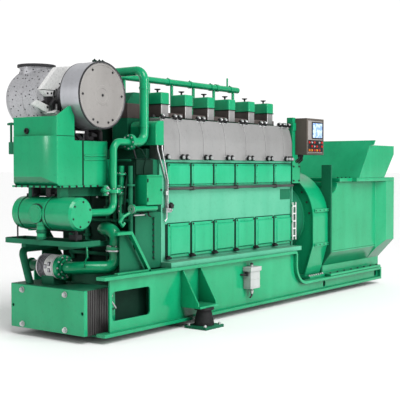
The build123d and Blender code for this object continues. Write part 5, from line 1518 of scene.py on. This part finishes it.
@dataclass
class SmallPipes(Assembly):
    """Flanges, valves and bolts of the small pipes ahead of the gear case."""

    riser: Rod = Rod((-2030, -335, 1000), (-2030, -335, 1500), 27)
    riser_flange: Turned = ring((-2030, -335, 0), UP, 24, 48, 15)
    riser_bolts: Parts = bolt_circle((-2030, -335, 15), UP, 38, 4, 8, 20)
    flange_heights: Numbers = (1248.0, 1305.0, 1418.0)
    elbow_flange: Turned = ring((-2146, -345, 1262), UP, 30, 68, 32)
    valves: Pair = (-2232.0, -2060.0)
    valve: Parts = (
        Rod((0, -330, 1240), (0, -330, 1330), 26), ring((0, -330, 1276), UP, 20, 44, 16),
    )
    valve_bolts: Parts = bolts([(0, -356, 1262), (0, -356, 1308)], NEAR, 13)
    cross_pipe: Rod = Rod((-2270, -330, 1285), (-2020, -330, 1285), 20)
    lever: Pipe = Pipe((
        (-2102, -500, 1090), (-2168, -480, 1056), (-2200, -470, 1012), (-2168, -470, 975),
        (-2140, -470, 1000),
    ), 14)
    flange_bolts: Parts = (
        *bolt_circle((-2146, -345, 1294), UP, 54, 8, 9),
        *bolt_circle((-1948, -345, 1712), FORE, 57, 8, 9),
        *bolt_circle((-2150, -376, 792), UP, 70, 8, 11),
    )
    bright_parts: Parts = (
        Pipe(((-2094, -540, 1068), (-1960, -540, 1068), (-1880, -436, 1068)), 7),
        ring((-2108, -520, 1122), AFT, 12, 40, 6, 28), ring((-2150, -376, 752), UP, 55, 90, 12),
        *bolts([(-1534, -470, 1092), (-1492, -470, 1092)], NEAR, 12),
        Rod((-1531, -440, 1230), (-1531, -440, 1270), 17, sides=12),
        Pipe(((-1531, -446, 1070), (-1531, -446, 1010), (-1560, -446, 985)), 8),
    )
    case_row: Route = ((-1724, 451, 668), (-1724, 451, 1020))
    case_count: int = 8
    case_bolt: float = 9.0
    dark_parts: Parts = (
        Pipe(((-1900, -360, 1660), (-1880, -380, 1560), (-1890, -420, 1470), (-1900, -430, 1420)), 7),
        Star((-1481, -425, 1130), NEAR, 34, 52),
    )

    def build(self) -> None:
        """Add the pipes, and their bright and dark fittings."""
        green = [self.riser, self.elbow_flange, self.cross_pipe, self.lever, *each(self.valve, self.valves)]
        bright = [*self.flange_bolts, *self.bright_parts, *each(self.valve_bolts, self.valves)]
        lifts = [(0.0, 0.0, z) for z in self.flange_heights]
        green += placed((self.riser_flange,), lifts)
        bright += placed(self.riser_bolts, lifts)
        case_bolts = bolts(both(row(*self.case_row, self.case_count)), FORE, self.case_bolt)
        self.shop.add("small_pipes", Look.GREEN, green)
        self.shop.add("small_fittings", Look.BRIGHT, bright)
        self.shop.add("dark_fittings", Look.DARK, [*self.dark_parts, *case_bolts])


@dataclass
class Cabinet(Assembly):
    """Hinges, lock, glands, cables and seam of the junction cabinet."""

    hardware: Parts = (
        Rod((-1922, -553, 1184), (-1922, -553, 1216), 6, sides=10),
        Rod((-1922, -553, 1354), (-1922, -553, 1386), 6, sides=10),
        Rod((-1738, -550, 1284), (-1738, -557, 1284), 9, sides=12),
    )
    gland: Rod = Rod((0, -440, 1150), (0, -440, 1122), 13, sides=12)
    glands: Numbers = (-1895.0, -1860.0, -1785.0)
    cable: Route = ((0, -440, 1122), (0, -440, 1080), (60, -430, 1050))
    cable_drops: Numbers = (0.0, 12.0, 12.0)
    cable_radius: float = 8.0
    seam: Block = Block((-1925, -551, 1400), (-1721, -549, 1403))

    def build(self) -> None:
        """Add the fittings and cables, and the seam."""
        dark = [*self.hardware, *each((self.gland,), self.glands)]
        dark += cables(self.glands, self.cable, self.cable_drops, self.cable_radius)
        self.shop.add("cabinet_fittings", Look.PLASTIC, dark)
        self.shop.add("cabinet_seam", Look.SEAM_AND_SHADE, [self.seam])


@dataclass
class FrontBrackets(Assembly):
    """Trapezoid brackets with a thin bright rim and a set-back web in the shaded green, which paints shade on
    it, on both sides.
    """

    rim_reach: Pair = (520.0, 560.0)
    lip_reach: Pair = (442.0, 520.0)
    web_reach: Pair = (478.0, 490.0)
    top_edge: Outline = ((-2326, 932), (-2134, 932), (-2150, 905), (-2326, 905))
    slope_edge: Outline = ((-2134, 932), (-1882, 567), (-1914, 567), (-2150, 905))
    lip: Outline = ((-2234, 932), (-2134, 932), (-2150, 912), (-2234, 912))
    web: Outline = ((-2222, 920), (-2140, 920), (-1900, 569), (-2222, 569))
    foot_edge: Numbers = (-2326.0, -1890.0, 567.0, 583.0)
    rim_bevel: float = 2.0
    thin_bevel: float = 1.0

    def build(self) -> None:
        """Add the rims, which stand in for the CAD brackets, and the webs."""
        start, end, low, high = self.foot_edge
        for side, name in zip(SIDES, ("near", "far")):
            rim = sorted(side * reach for reach in self.rim_reach)
            rims = [Plate(edge, *rim, self.rim_bevel) for edge in (self.top_edge, self.slope_edge)]
            rims.append(Plate(self.lip, *sorted(side * reach for reach in self.lip_reach), self.thin_bevel))
            rims.append(Block((start, rim[0], low), (end, rim[1], high), self.rim_bevel))
            web = Plate(self.web, *sorted(side * reach for reach in self.web_reach), self.thin_bevel)
            self.shop.add(f"bracket_rim_{name}", Look.GREEN, rims, f"front_bracket_{name}")
            # Web in the shaded green: painted shade
            self.shop.add(f"bracket_web_{name}", Look.SHADED, [web])


@dataclass
class GearCase(Assembly):
    """Dark plates that paint shade on the gear case, and the small lines in front of it."""

    shade_plates: Parts = (
        Block((-1984, -452, 600), (-1978, 452, 1540)), Block((-1974, -463, 1424), (-1745, -459, 1556)),
        Block((-1972, -448, 1560), (-1700, 300, 1568)), Block((-2190, 226, 1560), (-1540, 240, 2010), 3),
    )
    risers: Outline = ((-420, 1500), (-240, 1180), (-150, 1300), (110, 940), (300, 1220))
    riser_x: float = -2004.0
    riser_foot: float = 640.0
    riser_radius: float = 22.0
    low_collar: Turned = ring((-2004, 0, 860), UP, 20, 38, 16, 20)
    top_collar: Turned = ring((-2004, 0, -180), UP, 20, 40, 18, 20)
    cross_lines: Route = ((1010, -440, 120), (1190, -410, -150), (700, -240, 330))
    cross_x: float = -2012.0
    cross_radius: float = 18.0
    line_sides: int = 14
    boxes: Outline = ((-330, 1120), (-280, 820), (-60, 1240), (200, 1080))
    box: Block = Block((-2050, -34, -40), (-1984, 34, 40), 5)
    box_bolts: Parts = bolts([(-2050, 0, -20), (-2050, 0, 20)], FORE, 11)
    cable_places: Numbers = (-380.0, -200.0, 40.0)
    cable: Pipe = Pipe(((-2000, 0, 1420), (-2060, -30, 1300), (-2040, 0, 1150), (-1990, 40, 1060)), 10)
    wire: Pipe = Pipe((
        (-1944, -400, 1690), (-1880, -450, 1640), (-1850, -470, 1560), (-1880, -470, 1480),
        (-1872, -466, 1416),
    ), 5)

    def build(self) -> None:
        """Add the shade plates, the green lines and the bolts."""
        green = placed((self.low_collar,), [(0.0, y, 0.0) for y, _ in self.risers])
        green += placed((self.top_collar,), [(0.0, y, top) for y, top in self.risers])
        runs = [((self.riser_x, y, self.riser_foot), (self.riser_x, y, top)) for y, top in self.risers]
        green += [Rod(*run, self.riser_radius, sides=self.line_sides) for run in runs]
        runs = [((self.cross_x, start, z), (self.cross_x, end, z)) for z, start, end in self.cross_lines]
        green += [Rod(*run, self.cross_radius, sides=self.line_sides) for run in runs]
        spots = [(0.0, y, z) for y, z in self.boxes]
        # Dark plates painted as shade on the gear case, joined by the dark wire, boxes and cables
        dark = [*self.shade_plates, self.wire, *placed((self.box,), spots)]
        dark += placed((self.cable,), [(0.0, y, 0.0) for y in self.cable_places])
        self.shop.add("gear_case_shade", Look.SEAM_AND_SHADE, dark)
        # Lines in the shaded green, a darker copy painted as shade
        self.shop.add("gear_case_lines", Look.SHADED, green)
        self.shop.add("gear_case_fittings", Look.BRIGHT, placed(self.box_bolts, spots))


@dataclass
class Pump(Assembly):
    """Fins, bands and bolts of the pump and its motor, around the pump's axis."""

    x: float = -2428.0
    z: float = 609.0
    fin_places: range = range(146, 216, 17)
    fin: Numbers = (100.0, 109.0, 4.0)
    shadow_band: Numbers = (138.0, 100.0, 104.0, 80.0)
    bands: tuple[Numbers, ...] = (
        (36.0, 100.0, 105.5, 96.0), (17.0, 98.0, 109.0, 9.0), (218.0, 90.0, 109.0, 10.0),
    )
    flanges: tuple[Numbers, ...] = ((-46.0, 54.0, 78.0, 21.0), (396.0, 30.0, 62.0, 14.0))
    plates: Outline = ((52.0, 645.0), (52.0, 590.0), (96.0, 622.0))
    plate: Block = Block((-2538, 4, -16), (-2520, 26, 10), 2)
    plate_shadow: Block = Block((-2536, 0, -20), (-2520, 30, 14), 2)
    screws: Parts = (
        *bolt_circle((-2428, -25, 609), NEAR, 92, 10, 10),
        *bolt_circle((-2428, -46, 609), NEAR, 67, 6, 8, 30),
        *bolts([(x, y, 540) for y in (60, 170) for x in (-2488, -2368)], UP, 12),
    )

    def band(self, y: float, inner: float, outer: float, width: float) -> Turned:
        """Ring around the axis."""
        return ring((self.x, y, self.z), FAR, inner, outer, width)

    def build(self) -> None:
        """Add the motor's fins, bands and painted shadow, and the casing's bolts and flanges."""
        spots = [(0.0, y, z) for y, z in self.plates]
        fins = [self.band(y, *self.fin) for y in self.fin_places] + placed((self.plate,), spots)
        # Dark band under the fins and dark blocks behind the plates: painted shadow
        dark = [self.band(*self.shadow_band), *placed((self.plate_shadow,), spots)]
        self.shop.add("motor_fins", Look.MOTOR, fins)
        self.shop.add("motor_bands", Look.WHITE, [self.band(*band) for band in self.bands])
        self.shop.add("motor_shadow", Look.DARK, dark)
        self.shop.add("pump_bolts", Look.BRIGHT, self.screws)
        self.shop.add("pump_flanges", Look.GREEN, [self.band(*flange) for flange in self.flanges])


@dataclass
class FlywheelEnd(Assembly):
    """Bolts of the flywheel guard, the control panel's cables and the ladder's brackets."""

    guard_rows: Pair = (600.0, 995.0)
    guard_row: Route = ((1015, 572, 0), (1290, 572, 0))
    guard_count: int = 4
    guard_bolt: float = 8.0
    rim_bolts: Parts = bolt_circle((990, 0, 900), FORE, 500, 24, 12, 7.5)[:13]
    neck_bolts: Parts = bolt_circle((962, 0, 900), FORE, 405, 20, 14)
    post_bolts: Parts = bolts([(x, -440, z) for x in (735, 850) for z in (1340, 1500)], NEAR, 12)
    glands: Numbers = (800.0, 835.0, 870.0)
    gland: Rod = Rod((0, -470, 1632), (0, -470, 1606), 15, sides=12)
    cable: Route = ((0, -470, 1632), (0, -470, 1590), (-40, -420, 1540))
    cable_drops: Numbers = (0.0, 8.0, 12.0)
    cable_radius: float = 9.0
    cable_box: Block = Block((760, -430, 1420), (905, -330, 1540), 8)
    brackets: Parts = (
        Block((690, -452, 690), (706, -438, 710), 2), Block((690, -452, 870), (706, -438, 890), 2),
        Block((690, -452, 1050), (706, -438, 1070), 2), Block((710, -448, 1900), (776, -412, 1990), 3),
    )

    def build(self) -> None:
        """Add the guard's bolts, the cables and the brackets."""
        screws = [*self.rim_bolts, *self.neck_bolts, *self.post_bolts]
        for side in SIDES:
            places = [(x, side * y, z) for x, y, z in row(*self.guard_row, self.guard_count)]
            side_bolts = bolts(places, (0, side, 0), self.guard_bolt)
            screws += placed(side_bolts, [(0.0, 0.0, z) for z in self.guard_rows])
        lines = [self.cable_box, *each((self.gland,), self.glands)]
        lines += cables(self.glands, self.cable, self.cable_drops, self.cable_radius)
        self.shop.add("guard_bolts", Look.DARK, screws)
        self.shop.add("panel_cables", Look.PLASTIC, lines)
        self.shop.add("ladder_brackets", Look.GREEN, self.brackets)


@dataclass
class ControlPanel(Assembly):
    """Face plate, screen, bezels and keys of the control panel."""

    face: float = -586.0
    plate: Block = Block((796, -588, 1656), (1128, -582, 2018), 1.5)
    bezels: Parts = (
        Block((880, -594, 1812), (1118, -586, 2004), 4), Block((800, -589, 1664), (1126, -584, 1800), 2),
    )
    screen: Block = Block((896, -596, 1826), (1104, -588, 1990), 2)
    keys: tuple[tuple[Look | None, ...], ...] = (
        (Look.RED, Look.BRIGHT, Look.RED, None, Look.BRIGHT, Look.RED),
        (None, Look.RED, Look.BRIGHT, Look.RED, None, Look.RED),
        (Look.AMBER, Look.AMBER, Look.RED, Look.AMBER, Look.RED, None),
    )
    first_key: Pair = (822.0, 1772.0)
    key_pitch: Pair = (56.0, -44.0)
    socket_depth: float = 5.0
    socket_radius: float = 20.0
    key_reach: Pair = (4.0, 14.0)
    key_radii: Pair = (15.0, 12.0)
    key_sides: int = 16

    def build(self) -> None:
        """Add the panel's plate, sockets, screen and keys."""
        sockets = list(self.bezels)
        buttons: dict[Look, list[Part]] = {Look.RED: [], Look.AMBER: [], Look.BRIGHT: []}
        foot, head = (self.face - reach for reach in self.key_reach)
        for line, looks in enumerate(self.keys):
            for column, look in enumerate(looks):
                x = self.first_key[0] + self.key_pitch[0] * column
                z = self.first_key[1] + self.key_pitch[1] * line
                socket_head = (x, self.face - self.socket_depth, z)
                sockets.append(Rod((x, self.face, z), socket_head, self.socket_radius, sides=self.key_sides))
                if look:
                    key = Rod((x, foot, z), (x, head, z), *self.key_radii, sides=self.key_sides)
                    buttons[look].append(key)
        self.shop.add("panel_face", Look.FACE, [self.plate])
        self.shop.add("panel_bezels", Look.PLASTIC, sockets)
        self.shop.add("panel_screen", Look.SCREEN, [self.screen])
        for look, parts in buttons.items():
            self.shop.add(f"panel_{look.value}", look, parts)


@dataclass
class Alternator(Assembly):
    """Bolts along the alternator's covers and the seams of its sides."""

    roof_row: Route = ((1500, 585, 1366), (1800, 585, 1366))
    roof_count: int = 4
    shield_row: Route = ((1312, -420, 1180), (1312, 420, 1180))
    shield_count: int = 7
    bolt: float = 12.0
    seams: Parts = (
        Block((1345, -601, 508), (2466, -598, 512)), Block((1345, 598, 508), (2466, 601, 512)),
    )

    def build(self) -> None:
        """Add the bolts and seams."""
        screws = bolts(both(row(*self.roof_row, self.roof_count)), UP, self.bolt)
        screws += bolts(row(*self.shield_row, self.shield_count), FORE, self.bolt)
        self.shop.add("alternator_bolts", Look.SEAM_AND_SHADE, screws)
        self.shop.add("alternator_seams", Look.SEAM_AND_SHADE, self.seams)


@dataclass
class ExhaustSide(Assembly):
    """Bands and studs of the lagged exhaust manifold on the far side; places from a band's middle."""

    band_places: range = range(-1508, 600, 370)
    band: Block = Block((-14, 510, 1752), (14, 515, 1990), 1)
    band_bolts: Parts = bolts([(0, 515, 1790), (0, 515, 1950)], FAR, 10)
    stud_places: Numbers = (90.0, 185.0, 280.0)
    stud_heights: Numbers = (1765.0, 1870.0, 1975.0)
    stud_radii: Pair = (7.0, 5.0)
    stud_reach: Pair = (512.0, 516.0)
    stud_sides: int = 8
    rear: float = 640.0

    def build(self) -> None:
        """Add the bands and studs."""
        foot, head = self.stud_reach
        studs = each(self.band_bolts, self.band_places)
        spots = [x + i for x in self.band_places for i in self.stud_places if x + i < self.rear]
        for z in self.stud_heights:
            runs = [((x, foot, z), (x, head, z)) for x in spots]
            studs += [Rod(*run, *self.stud_radii, sides=self.stud_sides) for run in runs]
        self.shop.add("manifold_bands", Look.BRIGHT, each((self.band,), self.band_places))
        self.shop.add("manifold_studs", Look.DARK, studs)


@dataclass
class Canister(Assembly):
    """Neck, clamp, bands and drain of the leak-oil canister."""

    dark: Parts = (
        Rod((-352, -605, 498), (-352, -605, 512), 18, 14, sides=14),
        Block((-460, -623, 388), (-436, -587, 424), 3),
        Pipe(((-450, -605, 400), (-482, -585, 400), (-492, -562, 400)), 9),
        Pipe(((-352, -605, 198), (-352, -605, 176), (-382, -605, 160)), 9),
    )
    grey: Parts = (
        Rod((-352, -605, 232), (-352, -605, 196), 20, 14, sides=14),
        Block((-439, -652, 268), (-265, -562, 276), 1), Block((-439, -652, 348), (-265, -562, 356), 1),
    )

    def build(self) -> None:
        """Add the dark and the grey fittings."""
        self.shop.add("canister_dark", Look.DARK, self.dark)
        self.shop.add("canister_bands", Look.CANISTER, self.grey)


@dataclass
class WaterPipes(Assembly):
    """Clamps and joints of the cooling water pipes."""

    clamp: Turned = ring((-150, 200, 2372), AFT, 32, 40, 26)
    clamp_bolt: Bolt = Bolt((-137, 200, 2411), UP, 8)
    joints: Parts = (
        ring((-1731, -345, 1850), UP, 40, 47, 20), ring((-1731, -345, 2200), UP, 40, 47, 20),
    )

    def build(self) -> None:
        """Add the clamps at each cylinder, and their bolts."""
        self.shop.add("pipe_clamps", Look.GREEN, [*each((self.clamp,), CYLINDERS), *self.joints])
        self.shop.add("pipe_clamp_bolts", Look.DARK, each((self.clamp_bolt,), CYLINDERS))


@dataclass(frozen=True)
class SoftBox:
    """Rectangular light in metres and watts, which points at a target."""

    name: str
    place: Point
    target: Point
    size: Pair
    power: float

    def hang(self) -> None:
        """Add the light to the scene."""
        data = bpy.data.lights.new(self.name, "AREA")
        data.shape = "RECTANGLE"
        data.size, data.size_y = self.size
        data.energy = self.power
        lamp = bpy.data.objects.new(self.name, data)
        lamp.location = self.place
        lamp.rotation_euler = (Vector(self.target) - Vector(self.place)).to_track_quat("-Z", "Y").to_euler()
        bpy.context.scene.collection.objects.link(lamp)


@dataclass(frozen=True)
class Studio:
    """Pale floor, soft lights and the camera at the photo's place, in metres and degrees."""

    floor_size: float = 600.0
    floor_colours: tuple[Colour, Colour] = ((0.97, 0.97, 0.97), (0.93, 0.93, 0.94))
    speckle_scale: float = 6.0
    speckle_share: float = 0.2
    floor_roughness: float = 0.75
    speckle_rough: float = 0.1
    camera_place: Point = (-7.966, -5.714, 1.473)
    camera_turn: Point = (88.015, 0.0, -52.826)
    lens: float = 80.76
    sensor: float = 36.0
    view_reach: float = 500.0
    sun_side: Point = (-0.22, -0.64, 0.74)
    sun_power: float = 2.55
    sun_width: float = 38.0
    side_box: SoftBox = SoftBox("side_box", (0.6, -9.0, 2.8), (-1.0, -0.5, 1.2), (1.3, 4.2), 330.0)
    front_box: SoftBox = SoftBox("front_box", (-9.5, 3.5, 3.4), (-2.4, 0.0, 1.0), (0.8, 3.0), 130.0)
    backdrop: Point = (0.797, 0.604, 0.0)
    backdrop_edge: Range = (0.45, 0.85)
    backdrop_power: float = 1.05
    fill: float = 0.32

    def build(self) -> None:
        """Set the stage, the lights, the world and the camera."""
        self.floor()
        self.sun()
        self.side_box.hang()
        self.front_box.hang()
        self.world()
        self.camera()

    def floor(self) -> None:
        """Lay the pale floor."""
        mesh = bmesh.new()
        bmesh.ops.create_grid(mesh, x_segments=1, y_segments=1, size=self.floor_size / 2)
        data = bpy.data.meshes.new("floor")
        mesh.to_mesh(data)
        mesh.free()
        paint = bpy.data.materials.new("floor_paint")
        graph = Graph(paint)
        speckle = graph.noise(self.speckle_scale, CRISP)
        graph.set(Base_Color=graph.blend(speckle * self.speckle_share, *self.floor_colours))
        graph.set(Roughness=self.floor_roughness + speckle * self.speckle_rough)
        data.materials.append(paint)
        floor = bpy.data.objects.new("floor", data)
        bpy.context.scene.collection.objects.link(floor)

    def sun(self) -> None:
        """Hang the soft main light, which lights the floor evenly."""
        data = bpy.data.lights.new("main_light", "SUN")
        data.energy = self.sun_power
        data.angle = math.radians(self.sun_width)
        lamp = bpy.data.objects.new("main_light", data)
        lamp.rotation_euler = (-Vector(self.sun_side)).to_track_quat("-Z", "Y").to_euler()
        bpy.context.scene.collection.objects.link(lamp)

    def world(self) -> None:
        """Surround the set with soft light that is white behind it."""
        world = bpy.data.worlds.new("studio")
        graph = Graph(world)
        glow = graph.along(self.backdrop).step(*self.backdrop_edge)
        graph.set(Color=(1.0, 1.0, 1.0), Strength=self.fill + glow * (self.backdrop_power - self.fill))
        bpy.context.scene.world = world
        bpy.context.scene.view_settings.view_transform = "Standard"

    def camera(self) -> None:
        """Set the camera where the photo was taken."""
        data = bpy.data.cameras.new("photo_camera")
        data.lens = self.lens
        data.sensor_width = self.sensor
        data.clip_end = self.view_reach
        camera = bpy.data.objects.new("photo_camera", data)
        camera.location = self.camera_place
        camera.rotation_euler = [math.radians(turn) for turn in self.camera_turn]
        bpy.context.scene.collection.objects.link(camera)
        bpy.context.scene.camera = camera


def main() -> None:
    """Build every sub-assembly in order, and then the studio."""
    logging.basicConfig(level=logging.INFO, format="%(message)s")
    shop = Workshop()
    shop.dress_nodes()
    for kind in (
        SoftBodies, BaseFrame, PlateCooler, Crankcase, HotBox, Heads, Turbocharger, ChargeCooler, Drum,
        SmallPipes, Cabinet, FrontBrackets, GearCase, Pump, FlywheelEnd, ControlPanel, Alternator,
        ExhaustSide, Canister, WaterPipes,
    ):
        kind(shop).build()
    Studio().build()


if __name__ == "__main__":
    main()
